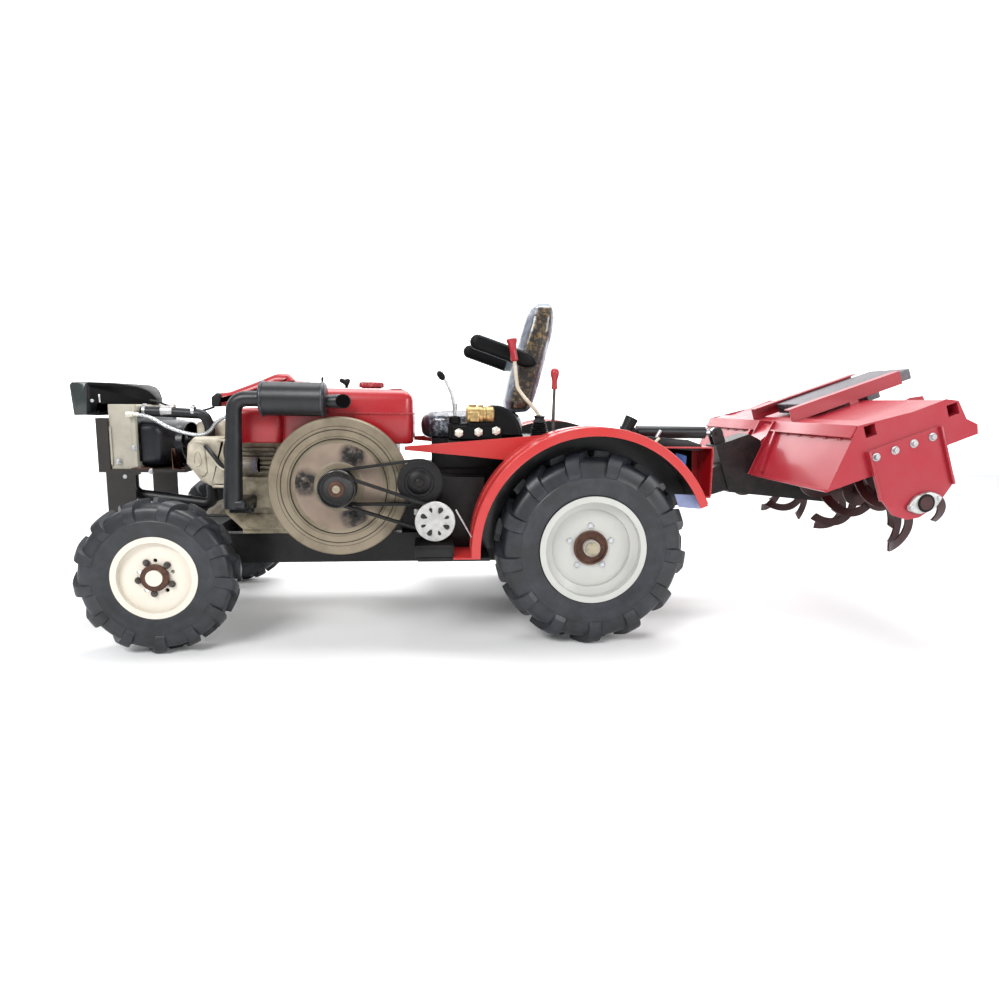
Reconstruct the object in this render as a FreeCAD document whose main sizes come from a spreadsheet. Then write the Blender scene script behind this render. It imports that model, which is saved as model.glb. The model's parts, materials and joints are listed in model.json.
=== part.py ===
import FreeCAD, Part
import math
import os
import re
import Sketcher

# Ride-on tiller: a small four-wheel tractor with an open single-cylinder diesel and a raised
# rotary tiller behind it. Millimetres. X runs from the nose to the tiller, Y from the left side
# to the right, Z up from the ground. Every piece is drawn with the rear axle at X = 0 and is
# then moved back by one shift, so that the origin lies under the middle of the whole machine.
# The tiller is drawn level, with the tine shaft at its origin, and is then tilted and lifted.

SIZES = {
    # wheels
    "wheelbase": 1520, "rear_track": 920, "front_track": 944,
    "rear_tyre_radius": 355, "rear_tyre_wide": 165, "rear_bead_radius": 178,
    "rear_flange_radius": 196, "rear_rim_wide": 140, "rear_well_radius": 150,
    "rear_disc_inset": 55, "rear_hub_radius": 62,
    "rear_stub_radius": 30, "rear_stub_out": 79, "axle_end_out": 30,
    "wheel_bolt_circle": 163, "wheel_bolt_hole": 8, "rear_bolt_count": 5,
    "front_tyre_radius": 270, "front_tyre_wide": 132, "front_bead_radius": 127,
    "front_flange_radius": 145, "front_rim_wide": 100, "front_well_radius": 104,
    "front_disc_inset": 20, "front_hub_radius": 40, "front_hub_long": 92,
    "spindle_radius": 20, "spindle_out": 110, "hub_cap_out": 22,
    "front_bolt_circle": 116, "front_bolt_hole": 7, "front_bolt_count": 5,
    "rim_wall": 4, "disc_thick": 6, "flange_thick": 6, "bead_seat_long": 28, "well_slope": 10,
    "running_gap": 0.3, "seat_gap": 0.3,
    "tyre_sides": 26, "lug_count": 13, "rear_lug_high": 22, "front_lug_high": 17, "lug_lean": 40,
    "lug_top": 0.23, "lug_foot": 0.32, "lug_sunk": 10,
    # frame
    "rail_high": 115, "rail_bottom": 252, "rail_wide": 50, "rail_between": 360, "rail_wall": 6,
    "rail_front": 1790, "rail_rear": 300, "cross_long": 150,
    "pad_long": 80, "shelf_high": 600, "shelf_thick": 11, "shelf_front": 1815,
    "front_half": 215, "leg_long": 102, "leg_thick": 6,
    "pillar_deep": 42, "pillar_wide": 30, "pillar_high": 190,
    # front axle
    "beam_deep": 60, "beam_high": 55, "beam_bottom": 190, "kingpin_in": 127,
    "kingpin_radius": 12, "boss_radius": 26, "boss_high": 125, "ear_thick": 22,
    "ear_radius": 24, "web_thick": 13, "web_out": 27, "bolster_wide": 120, "arm_long": 130,
    "arm_wide": 30, "track_pin_radius": 8, "track_pin_high": 26, "tie_eye_radius": 18,
    "tie_rod_radius": 9, "tie_eye_high": 20,
    # engine
    "block_front": 1356, "block_rear": 720, "block_left": 240, "block_right": 240,
    "block_high": 335, "foot_high": 18, "foot_front": 1300, "foot_rear": 760,
    "head_long": 147, "head_bottom": 545, "head_high": 190, "head_left": 220, "head_right": 200,
    "crank_x": 912, "crank_high": 570, "flywheel_radius": 250, "flywheel_thick": 60,
    "flywheel_out": 410, "crank_radius": 25, "crank_deep": 40, "crank_pulley_radius": 55,
    "fan_groove_radius": 45, "groove_wide": 40, "web_radius": 166, "web_boss_radius": 90,
    "web_deep": 9, "pocket_count": 3, "pocket_circle": 248, "pocket_radius": 31,
    "pocket_deep": 14, "pocket_first": 64,
    "rib_first": 604, "rib_step": 17, "rib_count": 6, "rib_thick": 8, "rib_out": 16,
    "rib_front": 1318, "rib_rear": 1166, "filter_radius": 28, "filter_x": 1288,
    "filter_long": 66, "filter_high": 634, "rocker_front": 1492, "rocker_rear": 1372,
    "rocker_left": 120, "rocker_right": 150, "rocker_high": 55,
    "manifold_front": 1392, "manifold_rear": 1236, "manifold_high": 52, "manifold_out": 60,
    "tank_front": 1303, "tank_rear": 649, "tank_high": 204, "tank_nose_high": 124,
    "tank_step": 1120, "tank_left": 330, "tank_right": 270, "tank_round": 20,
    "cap_radius": 48, "cap_high": 26, "cap_x": 815, "cap_left": 130,
    "cowl_front": 1426, "cowl_high": 258, "cowl_left": 130, "cowl_right": 270,
    "muffler_radius": 60, "muffler_front": 1178, "muffler_rear": 951, "muffler_high": 880,
    "muffler_left": 395, "pipe_radius": 25, "pipe_in": 80, "pipe_x": 1265, "pipe_foot_high": 515,
    "tail_radius": 20, "tail_long": 45,
    "cleaner_radius": 65, "cleaner_high": 200, "cleaner_bottom": 600, "cleaner_x": 1200,
    # cooling
    "radiator_front": 1773, "radiator_rear": 1675, "radiator_high": 241, "shroud_rear": 1546,
    "shroud_half": 180, "shroud_high": 182,
    "lamp_overhang": 82, "lamp_rear": 1638, "lamp_rear_half": 50,
    "lamp_taper": 1790,
    "lamp_box_bottom": 807, "lamp_box_top": 932, "lamp_radius": 50, "lamp_apart": 230,
    "lamp_deep": 20, "hose_radius": 19, "low_hose_radius": 22,
    "hose_drop": 76, "outlet_deep": 14, "outlet_half": 32,
    "window_gap": 6, "hose_left": 150,
    "radiator_half": 205, "fin_count": 24, "fin_deep": 6, "fin_thick": 8, "fin_edge": 14,
    # drive
    "clutch_x": 625, "clutch_high": 590, "clutch_radius": 75,
    "clutch_shaft_radius": 15, "shaft_deep": 30, "belt_thick": 9,
    "belt_wide": 30, "fan_x": 569, "fan_high": 457, "fan_radius": 72, "fan_thick": 10,
    "fan_pulley_radius": 40, "fan_hole_radius": 11, "fan_hole_circle": 100, "fan_hole_count": 8,
    "alternator_radius": 55, "alternator_long": 72,
    "board_front": 630, "board_rear": 375, "board_wide": 300, "board_top": 332,
    "board_thick": 12, "battery_front": 545, "battery_rear": 385, "battery_high": 268,
    "battery_out": 356, "battery_wide": 120,
    # gearbox and rear axle
    "case_front": 700, "case_step": 300, "case_rear": 260, "case_top": 620,
    "front_case_half": 170, "front_case_bottom": 300, "rear_case_half": 150,
    "rear_case_bottom": 215, "axle_tube_radius": 55, "axle_plate_radius": 90,
    "axle_plate_thick": 16,
    "lift_box_front": 97, "lift_box_half": 130, "lift_box_high": 115,
    # fenders
    "fender_radius": 440, "fender_wall": 4, "fender_in": 361, "fender_out": 555,
    "fender_lip": 28, "fender_hole": 120, "fender_rear_angle": 22, "fender_foot_front": 506,
    "wing_front": 680, "wing_high": 714, "wing_tip": 14,
    # seat and controls
    "base_front": 580, "base_rear": 160, "base_half": 180, "base_high": 115,
    "ledge_front": 520, "ledge_rear": 100, "ledge_thick": 8, "cushion_front": 632,
    "cushion_rear": 195, "cushion_half": 215, "cushion_high": 101, "back_foot": 241,
    "back_head": 128, "back_thick": 118, "back_half": 205, "back_high": 452, "back_round": 30,
    "armrest_in": 226, "armrest_wide": 46, "armrest_pin_radius": 14,
    "armrest_front": 411, "armrest_front_high": 1101, "armrest_front_radius": 22,
    "armrest_rear": 203, "armrest_rear_high": 1040, "armrest_rear_radius": 25,
    "valve_front": 518, "valve_rear": 436, "valve_wide": 90, "valve_high": 66,
    "dome_x": 345, "dome_radius": 108, "dome_base": 18,
    "valve_left": 330, "lever_left": 300, "lever_radius": 7,
    "valve_lever_x": 494, "valve_lever_high": 184, "valve_lever_lean": 58,
    "valve_boot_radius": 20, "valve_boot_high": 18, "valve_grip_radius": 11,
    "gear_lever_x": 171, "gear_lever_high": 383, "gear_lever_lean": 109,
    "gear_boot_radius": 26, "gear_boot_high": 80, "gear_grip_radius": 16,
    "rear_lever_x": 117, "rear_lever_high": 275, "rear_lever_lean": 0, "rear_boot_radius": 16,
    "rear_boot_high": 20, "rear_grip_radius": 14,
    # hitch
    "hinge_x": 300, "hinge_high": 420, "hinge_pin_radius": 14, "hinge_eye_radius": 30,
    "neck_half": 46, "ear_gap": 4, "hinge_ear_thick": 12, "hitch_box_rear": 557,
    "hitch_box_bottom": 502, "hitch_box_high": 208, "hitch_box_in": 80, "hitch_box_out": 230,
    "hitch_box_wall": 6, "ram_x": 275, "ram_high": 760, "ram_radius": 27, "ram_long": 306,
    "ram_rod_radius": 13, "ram_pin_radius": 9, "ram_ear_thick": 10, "ram_ear_radius": 24,
    "ram_eye_half": 14, "ram_pin_slack": 6.5,
    # tiller
    "shaft_x": 1174, "shaft_high": 543, "tiller_tilt": 19.5, "deck_half": 625,
    "deck_high": 325, "deck_front": 160, "deck_rear": 220, "sheet": 5, "side_thick": 6,
    "skirt_front": 332, "skirt_bottom": 154, "ridge_high": 344, "tail_x": 271,
    "tail_high": 203, "tail_bottom": 168, "tube": 50, "tube_wall": 4, "front_tube_x": 122,
    "front_tube_high": 313, "rear_tube_x": 192, "rear_tube_high": 284, "centre_gap": 120,
    "gusset_wide": 6, "ear_out": 330,
    "lower_front": 158, "lower_rear": 128, "lower_top": 246, "lower_bottom": 50,
    "lower_foot_front": 72, "lower_foot_rear": 50, "lower_heel": 29, "lower_toe": 60,
    "lower_slope": 119,
    "lower_thick": 8,
    "tine_radius": 212, "tine_wide": 32, "tine_thick": 7, "tine_aside": 58,
    "tine_sweep": 134, "tine_neck": 70, "tine_bend": 86, "tine_turn": 118, "tine_flange_radius": 68, "tine_flange_thick": 10, "tine_flanges": 4,
    "tine_first": 125, "tine_step": 140, "tine_count": 4, "tine_phase": 17, "tine_rest": 13,
    "shaft_radius": 25,
    "bearing_radius": 36,
    "bearing_thick": 18, "bearing_ear": 74, "leg_half": 45, "leg_radius": 84, "gear_front": 445,
    "gear_rear": 250, "gear_bottom": 115, "gear_top": 330, "gear_half": 55,
    "top_pin_x": 412, "top_pin_high": 376,
    "mast_front": 150, "mast_rear": 354, "mast_high": 56, "mast_half": 170, "mast_wide": 40,
    "channel_front": 43, "channel_rear": 427, "mast_wall": 5,
    "hanger_x": 262, "hanger_long": 60, "hanger_half": 60, "hanger_deep": 48,
}

doc = FreeCAD.newDocument("RideOnTiller")
sheet = doc.addObject("Spreadsheet::Sheet", "Sizes")
for row, (alias, value) in enumerate(SIZES.items(), 1):
    sheet.set(f"A{row}", str(value))
    sheet.setAlias(f"A{row}", alias)
doc.recompute()

parts = {}


# ---- helpers ---------------------------------------------------------------------------------

def size(alias):
    return float(getattr(sheet, alias))


def bind(thing, prop, text):
    """Bind a property to a formula whose words are cells of the sheet."""
    thing.setExpression(prop, re.sub(r"[a-z]\w*", lambda word: "Sizes." + word.group(0), text))


def corner(thing, x, y, z):
    for axis, text in zip("xyz", (x, y, z)):
        bind(thing, "Placement.Base." + axis, text)


def box(name, start, spans):
    """A block from its low corner, with its lengths along X, Y and Z."""
    block = doc.addObject("Part::Box", name)
    for prop, text in zip(("Length", "Width", "Height"), spans):
        bind(block, prop, text)
    corner(block, *start)
    return block


TURN = {"X": FreeCAD.Rotation(FreeCAD.Vector(0, 1, 0), 90),
        "Y": FreeCAD.Rotation(FreeCAD.Vector(1, 0, 0), -90),
        "Z": FreeCAD.Rotation()}


def rod(name, start, radius, long, axis):
    """A round bar from the middle of its low end, along one axis."""
    bar = doc.addObject("Part::Cylinder", name)
    bind(bar, "Radius", radius)
    bind(bar, "Height", long)
    bar.Placement = FreeCAD.Placement(FreeCAD.Vector(), TURN[axis])
    corner(bar, *start)
    return bar


def fused(name, *pieces):
    join = doc.addObject("Part::MultiFuse", name)
    join.Shapes = list(pieces)
    join.Refine = True
    return join


def group(name, *pieces):
    """Solids that do not touch, kept apart in one piece."""
    several = doc.addObject("Part::Compound", name)
    several.Links = list(pieces)
    return several


def cut(name, base, *tools):
    rest = doc.addObject("Part::Cut", name)
    rest.Base = base
    rest.Tool = tools[0] if len(tools) == 1 else fused(name + "_tools", *tools)
    rest.Refine = True
    return rest


def other_side(name, piece):
    """The same piece on the right-hand side."""
    twin = doc.addObject("Part::Mirroring", name)
    twin.Source = piece
    twin.Normal = FreeCAD.Vector(0, 1, 0)
    return twin


def both_sides(name, piece):
    return group(name, piece, other_side(name + "_right", piece))


def closed_sketch(body, plane, points):
    """A closed outline of straight lines whose corners are held by formulas."""
    sketch = body.newObject("Sketcher::SketchObject", body.Name + "_outline")
    origin_plane = [item for item in body.Origin.OriginFeatures if item.Role == plane][0]
    sketch.AttachmentSupport = [(origin_plane, "")]
    sketch.MapMode = "FlatFace"
    count = len(points)
    ring = [FreeCAD.Vector(math.cos(2 * math.pi * k / count), math.sin(2 * math.pi * k / count), 0)
            * size("wheelbase") for k in range(count)]
    for k in range(count):
        sketch.addGeometry(Part.LineSegment(ring[k], ring[(k + 1) % count]))
    for k in range(count):
        sketch.addConstraint(Sketcher.Constraint("Coincident", k, 2, (k + 1) % count, 1))
    for k, point in enumerate(points):
        for kind, text in zip(("DistanceX", "DistanceY"), point):
            held = sketch.addConstraint(Sketcher.Constraint(kind, -1, 1, k, 1, 1.0))
            bind(sketch, f"Constraints[{held}]", text)
    return sketch


def plate(name, plane, points, low, thick):
    """An outline padded from low to low + thick along the axis its plane leaves out."""
    body = doc.addObject("PartDesign::Body", name)
    sketch = closed_sketch(body, plane, points)
    towards_minus = plane == "XZ_Plane"
    bind(sketch, "AttachmentOffset.Base.z", f"-({low} + {thick})" if towards_minus else low)
    pad = body.newObject("PartDesign::Pad", name + "_pad")
    pad.Profile = sketch
    bind(pad, "Length", thick)
    return body


def turned(name, points):
    """A profile of radius and Y turned once around the Y axis."""
    body = doc.addObject("PartDesign::Body", name)
    sketch = closed_sketch(body, "XY_Plane", points)
    turn = body.newObject("PartDesign::Revolution", name + "_turn")
    turn.Profile = sketch
    turn.ReferenceAxis = (sketch, ["V_Axis"])
    turn.Angle = 360
    return body


def ring_of_holes(body, circle, hole, count):
    """Round holes along Y, evenly spaced on a bolt circle."""
    sketch = body.newObject("Sketcher::SketchObject", body.Name + "_hole")
    side = [item for item in body.Origin.OriginFeatures if item.Role == "XZ_Plane"][0]
    sketch.AttachmentSupport = [(side, "")]
    sketch.MapMode = "FlatFace"
    sketch.addGeometry(Part.Circle(FreeCAD.Vector(0, size(circle) / 2, 0),
                                   FreeCAD.Vector(0, 0, 1), size(hole)))
    sketch.addConstraint(Sketcher.Constraint("PointOnObject", 0, 3, -2))
    sketch.addConstraint(Sketcher.Constraint("DistanceY", -1, 1, 0, 3, size(circle) / 2))
    bind(sketch, "Constraints[1]", circle + " / 2")
    sketch.addConstraint(Sketcher.Constraint("Radius", 0, size(hole)))
    bind(sketch, "Constraints[2]", hole)
    doc.recompute()
    drill = body.newObject("PartDesign::Pocket", body.Name + "_drill")
    drill.Profile = sketch
    drill.Type = "ThroughAll"
    drill.Midplane = True
    pattern = body.newObject("PartDesign::PolarPattern", body.Name + "_drills")
    pattern.Originals = [drill]
    spin = [item for item in body.Origin.OriginFeatures if item.Role == "Y_Axis"][0]
    pattern.Axis = (spin, [""])
    pattern.Angle = 360
    bind(pattern, "Occurrences", count)
    body.Tip = pattern
    return body


def shape_piece(name, shape):
    feature = doc.addObject("Part::Feature", name)
    feature.Shape = shape
    return feature


def flat(points, low, high):
    """A plate between two Y planes from its outline of X and Z."""
    corners = [FreeCAD.Vector(x, low, z) for x, z in points]
    face = Part.Face(Part.makePolygon(corners + corners[:1]))
    return face.extrude(FreeCAD.Vector(0, high - low, 0))


def bar(start, end, radius):
    start, end = FreeCAD.Vector(*start), FreeCAD.Vector(*end)
    return Part.makeCylinder(radius, (end - start).Length, start, end - start)


def cross_bar(point, half, radius):
    return bar((point.x, -half, point.z), (point.x, half, point.z), radius)


def hose(points, radius):
    """A round hose along straight runs joined by tangent arcs."""
    points = [FreeCAD.Vector(*point) for point in points]
    edges = []
    start = points[0]
    for before, point, after in zip(points, points[1:], points[2:]):
        back, ahead = before - point, after - point
        half_turn = (math.pi - back.getAngle(ahead)) / 2
        trim = 0.45 * min(back.Length, ahead.Length)
        first = point + back.normalize() * trim
        last = point + ahead.normalize() * trim
        bend = trim / math.tan(half_turn)
        to_centre = (back + ahead).normalize()
        middle = point + to_centre * (bend / math.cos(half_turn) - bend)
        edges.append(Part.LineSegment(start, first).toShape())
        edges.append(Part.Arc(first, middle, last).toShape())
        start = last
    edges.append(Part.LineSegment(start, points[-1]).toShape())
    path = Part.Wire(edges)
    way = points[1] - points[0]
    end = Part.Wire(Part.Circle(points[0], way, radius).toShape())
    return path.makePipeShell([end], True, False)


def part(name, thing, place=FreeCAD.Placement()):
    """A finished sub-part under its own label, with its place on the machine."""
    thing.Label = name + " shape"
    sub_part = doc.addObject("Part::Compound", "Part_" + name)
    sub_part.Links = [thing]
    sub_part.Label = name
    sub_part.Placement = place
    parts[name] = sub_part


def two_circles(first, second, y):
    """The outline round two circles, each its X, Z and radius: two arcs and their tangents."""
    (ax, az, ar), (bx, bz, br) = first, second
    along = math.atan2(bz - az, bx - ax)
    lean = math.acos((ar - br) / math.hypot(bx - ax, bz - az))

    def point(x, z, radius, angle):
        return FreeCAD.Vector(x + radius * math.cos(angle), y, z + radius * math.sin(angle))

    top_a, top_b = point(ax, az, ar, along + lean), point(bx, bz, br, along + lean)
    low_a, low_b = point(ax, az, ar, along - lean), point(bx, bz, br, along - lean)
    return Part.Wire([
        Part.LineSegment(top_a, top_b).toShape(),
        Part.Arc(top_b, point(bx, bz, br, along), low_b).toShape(),
        Part.LineSegment(low_b, low_a).toShape(),
        Part.Arc(low_a, point(ax, az, ar, along + math.pi), top_a).toShape()])


def belt(first, second, thick, low, high):
    """A belt round two pulleys, hollowed by its thickness."""
    def loop(extra):
        return Part.Face(two_circles((*first[:2], first[2] + extra),
                                     (*second[:2], second[2] + extra), low))
    gap = size("running_gap")
    return loop(gap + thick).cut(loop(gap)).extrude(FreeCAD.Vector(0, high - low, 0))


# ---- wheels ----------------------------------------------------------------------------------
# Each wheel is drawn about the Y axis with its outer side towards -Y.

def rim(name, end, hub_in, bore, stub_end, cap_radius, cap_out):
    """Flanged rim with a dropped well, a disc set in from the outer flange, and its hub."""
    half = f"{end}_rim_wide / 2"
    disc = f"-({half}) + {end}_disc_inset"
    inner_seat = f"{end}_bead_radius - rim_wall"
    inner_well = f"{end}_well_radius - rim_wall"
    seat_end = "(flange_thick + bead_seat_long)"
    slope_in = [(inner_well, f"-({half}) + {seat_end} + well_slope - rim_wall"),
                (inner_seat, f"-({half}) + {seat_end} - rim_wall")]
    if end == "rear":
        well = [(inner_well, f"{disc} + disc_thick")]
        face = [(inner_well, disc), *slope_in]
    else:
        well = [*slope_in, (inner_seat, f"{disc} + disc_thick")]
        face = [(inner_seat, disc)]
    body = turned(name, [
        (f"{end}_flange_radius", f"-({half})"),
        (f"{end}_flange_radius", f"-({half}) + flange_thick"),
        (f"{end}_bead_radius", f"-({half}) + flange_thick"),
        (f"{end}_bead_radius", f"-({half}) + {seat_end}"),
        (f"{end}_well_radius", f"-({half}) + {seat_end} + well_slope"),
        (f"{end}_well_radius", f"{half} - {seat_end} - well_slope"),
        (f"{end}_bead_radius", f"{half} - {seat_end}"),
        (f"{end}_bead_radius", f"{half} - flange_thick"),
        (f"{end}_flange_radius", f"{half} - flange_thick"),
        (f"{end}_flange_radius", half),
        (inner_seat, half),
        (inner_seat, f"{half} - {seat_end} + rim_wall"),
        (inner_well, f"{half} - {seat_end} - well_slope + rim_wall"),
        *well,
        (f"{end}_hub_radius", f"{disc} + disc_thick"),
        (f"{end}_hub_radius", hub_in),
        (f"{bore} + running_gap", hub_in),
        (f"{bore} + running_gap", stub_end),
        ("0 * rim_wall", stub_end),
        ("0 * rim_wall", f"{disc} - {cap_out}"),
        (cap_radius, f"{disc} - {cap_out}"),
        (cap_radius, disc),
        *face,
        (inner_seat, f"-({half})")])
    return ring_of_holes(body, "wheel_bolt_circle" if end == "rear" else "front_bolt_circle",
                         "wheel_bolt_hole" if end == "rear" else "front_bolt_hole",
                         f"{end}_bolt_count")


def faceted(points, faces):
    """A solid from its corner points and its flat faces."""
    skin = [Part.Face(Part.makePolygon([points[k] for k in face + face[:1]])) for face in faces]
    return Part.makeSolid(Part.makeShell(skin))


def ring_faces(rows, sides):
    """The faces between rows of corners that run round a ring, the last row meeting the first."""
    faces = []
    for row in range(rows):
        for k in range(sides):
            ahead, above = (k + 1) % sides, (row + 1) % rows
            faces.append([row * sides + k, row * sides + ahead, above * sides + ahead,
                          above * sides + k])
    return faces


def lug_faces(stations):
    """Triangles over a bar of four-cornered stations, and over its two ends."""
    faces = [[0, 1, 2], [0, 2, 3]]
    for station in range(stations - 1):
        for k in range(4):
            here, ahead = 4 * station + k, 4 * station + (k + 1) % 4
            faces += [[here, ahead, ahead + 4], [here, ahead + 4, here + 4]]
    last = 4 * (stations - 1)
    return faces + [[last, last + 1, last + 2], [last, last + 2, last + 3]]


def tyre(name, end):
    """A carcass of flat facets with two rows of leaning lugs, out to the tyre's radius."""
    outside, half = size(f"{end}_tyre_radius"), size(f"{end}_tyre_wide") / 2
    flange, sides = size(f"{end}_flange_radius"), int(size("tyre_sides"))
    crown = outside - size(f"{end}_lug_high")
    wall = crown - flange
    seat_side = size(f"{end}_rim_wide") / 2 - size("flange_thick") - size("seat_gap")
    to_corner = 1 / math.cos(math.pi / sides)
    profile = [((size(f"{end}_bead_radius") + size("seat_gap")) * to_corner, seat_side),
               ((flange + size("seat_gap")) * to_corner, seat_side),
               (flange + 0.42 * wall, half - 2),
               (flange + 0.88 * wall, 0.82 * half),
               (crown, 0.36 * half)]
    profile += [(radius, -y) for radius, y in reversed(profile)]
    turn = 2 * math.pi / sides
    corners = [FreeCAD.Vector(radius * math.cos(k * turn), y, radius * math.sin(k * turn))
               for radius, y in profile for k in range(sides)]
    carcass = faceted(corners, ring_faces(len(profile), sides))

    count = int(size("lug_count"))
    pitch = 2 * math.pi / count
    sunk = size("lug_sunk")
    stations = [(0.05 * half, outside, crown - sunk),
                (0.72 * half, outside - 0.3 * sunk, crown - 2 * sunk),
                (half, outside - 3.2 * sunk, crown - 4 * sunk)]
    lean = math.tan(math.radians(size("lug_lean"))) / outside
    first_corner = -size("lug_top") / 2 * pitch + lean * stations[0][0]

    def lug(side, turned_by):
        corners = []
        for y, top, foot in stations:
            for radius, wide in ((top, -size("lug_top")), (top, size("lug_top")),
                                 (foot, size("lug_foot")), (foot, -size("lug_foot"))):
                angle = turned_by + lean * y + wide / 2 * pitch
                corners.append(FreeCAD.Vector(radius * math.cos(angle), side * y,
                                              radius * math.sin(angle)))
        return faceted(corners, lug_faces(len(stations)))

    straight_down = -math.pi / 2 - first_corner
    lugs = [lug(side, straight_down + (k + (side < 0) / 2) * pitch)
            for side in (1, -1) for k in range(count)]
    return shape_piece(name, carcass.fuse(lugs))


rear_rim = rim("rear_rim", "rear", "rear_rim_wide / 2 + 15", "rear_stub_radius",
               "rear_track / 2 - fender_in - rear_stub_out - 5", "rear_stub_radius",
               "axle_end_out")
front_rim = rim("front_rim", "front", "front_hub_long - (front_rim_wide / 2 - front_disc_inset)",
                "spindle_radius",
                "kingpin_in - web_out - spindle_out - 5",
                "front_hub_radius - 12", "hub_cap_out")
wheels = {"rear": (rear_rim, tyre("rear_tyre", "rear")),
          "front": (front_rim, tyre("front_tyre", "front"))}

for end, (wheel_rim, wheel_tyre) in wheels.items():
    x = 0 if end == "rear" else -size("wheelbase")
    for side, hand in (("left", -1), ("right", 1)):
        centre = FreeCAD.Placement(FreeCAD.Vector(x, hand * size(end + "_track") / 2,
                                                  size(end + "_tyre_radius")),
                                   FreeCAD.Rotation())
        for what, piece in (("rim", wheel_rim), ("tyre", wheel_tyre)):
            name = f"{end}_{side}_{what}"
            if hand < 0:
                copy = doc.addObject("Part::Compound", name)
                copy.Links = [piece]
            else:
                copy = other_side(name, piece)
            part(name, copy, centre)

# ---- frame -----------------------------------------------------------------------------------
# Two channel rails open inwards, joined by a cross member over the front axle. Short pads on
# the rails carry the gearbox.

rail_in, rail_out = "rail_between / 2", "rail_between / 2 + rail_wide"
rail_top = "rail_bottom + rail_high"
rail = plate("rail", "YZ_Plane", [
    (f"-({rail_out})", "rail_bottom"),
    (f"-({rail_in})", "rail_bottom"),
    (f"-({rail_in})", "rail_bottom + rail_wall"),
    (f"-({rail_out}) + rail_wall", "rail_bottom + rail_wall"),
    (f"-({rail_out}) + rail_wall", f"{rail_top} - rail_wall"),
    (f"-({rail_in})", f"{rail_top} - rail_wall"),
    (f"-({rail_in})", rail_top),
    (f"-({rail_out})", rail_top)], "-rail_front", "rail_front - rail_rear")
cross = box("cross_member", ("-wheelbase - cross_long / 2", f"-({rail_out}) + rail_wall / 2",
                             "rail_bottom + rail_wall / 2"),
            ("cross_long", f"2 * ({rail_out}) - rail_wall", "rail_high - rail_wall"))
pads = [box(f"gearbox_pad_{k}", (x, f"-({rail_out}) + rail_wall / 2", "rail_bottom + rail_wall"),
            ("pad_long", f"{rail_out} - front_case_half - rail_wall / 2",
             "rail_high - 2 * rail_wall"))
        for k, x in enumerate(("-case_front + pad_long", "-case_step - pad_long"))]
rails = [rail, other_side("right_rail", rail), cross]
rails += pads + [other_side(pad.Name + "_right", pad) for pad in pads]
part("chassis_rails", fused("chassis_rails", *rails))

# ---- front frame -----------------------------------------------------------------------------
shelf_top = "shelf_high + shelf_thick"
shelf = box("shelf", ("-shelf_front", "-front_half", "shelf_high"),
            ("shelf_front - block_front - head_long", "2 * front_half", "shelf_thick"))
leg = box("leg", ("-rail_front", "-front_half", rail_top),
          ("leg_long", "leg_thick", f"shelf_high - ({rail_top})"))
pillar = box("pillar", ("-shelf_front", "-front_half", shelf_top),
             ("pillar_deep", "pillar_wide", "pillar_high"))
window = box("shelf_window", ("-((radiator_front + radiator_rear) / 2) - outlet_half - window_gap",
                              "-hose_left - outlet_half - window_gap",
                              "shelf_high - window_gap"),
             ("2 * (outlet_half + window_gap)", "2 * (outlet_half + window_gap)",
              "shelf_thick + 2 * window_gap"))
part("front_frame", cut("front_frame",
                        fused("front_frame_solid", shelf, leg, other_side("right_leg", leg),
                              pillar, other_side("right_pillar", pillar)), window))

# ---- front axle ------------------------------------------------------------------------------
kingpin_y = "front_track / 2 - kingpin_in"
beam = box("beam", ("-wheelbase - beam_deep / 2", f"-({kingpin_y})", "beam_bottom"),
           ("beam_deep", f"2 * ({kingpin_y})", "beam_high"))
bolster = box("bolster", ("-wheelbase - beam_deep / 2", "-bolster_wide / 2",
                          "beam_bottom + beam_high"),
              ("beam_deep", "bolster_wide",
               "rail_bottom + rail_wall / 2 - beam_bottom - beam_high"))
boss = rod("boss", ("-wheelbase", f"-({kingpin_y})", "beam_bottom"), "boss_radius", "boss_high",
           "Z")
boss_hole = rod("boss_hole", ("-wheelbase", f"-({kingpin_y})", "beam_bottom - ear_thick"),
                "kingpin_radius + running_gap", "boss_high + 2 * ear_thick", "Z")
part("front_axle", cut("front_axle", fused("beam_and_bosses", beam, bolster, boss,
                                           other_side("right_boss", boss)),
                       boss_hole, other_side("right_boss_hole", boss_hole)))

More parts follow.
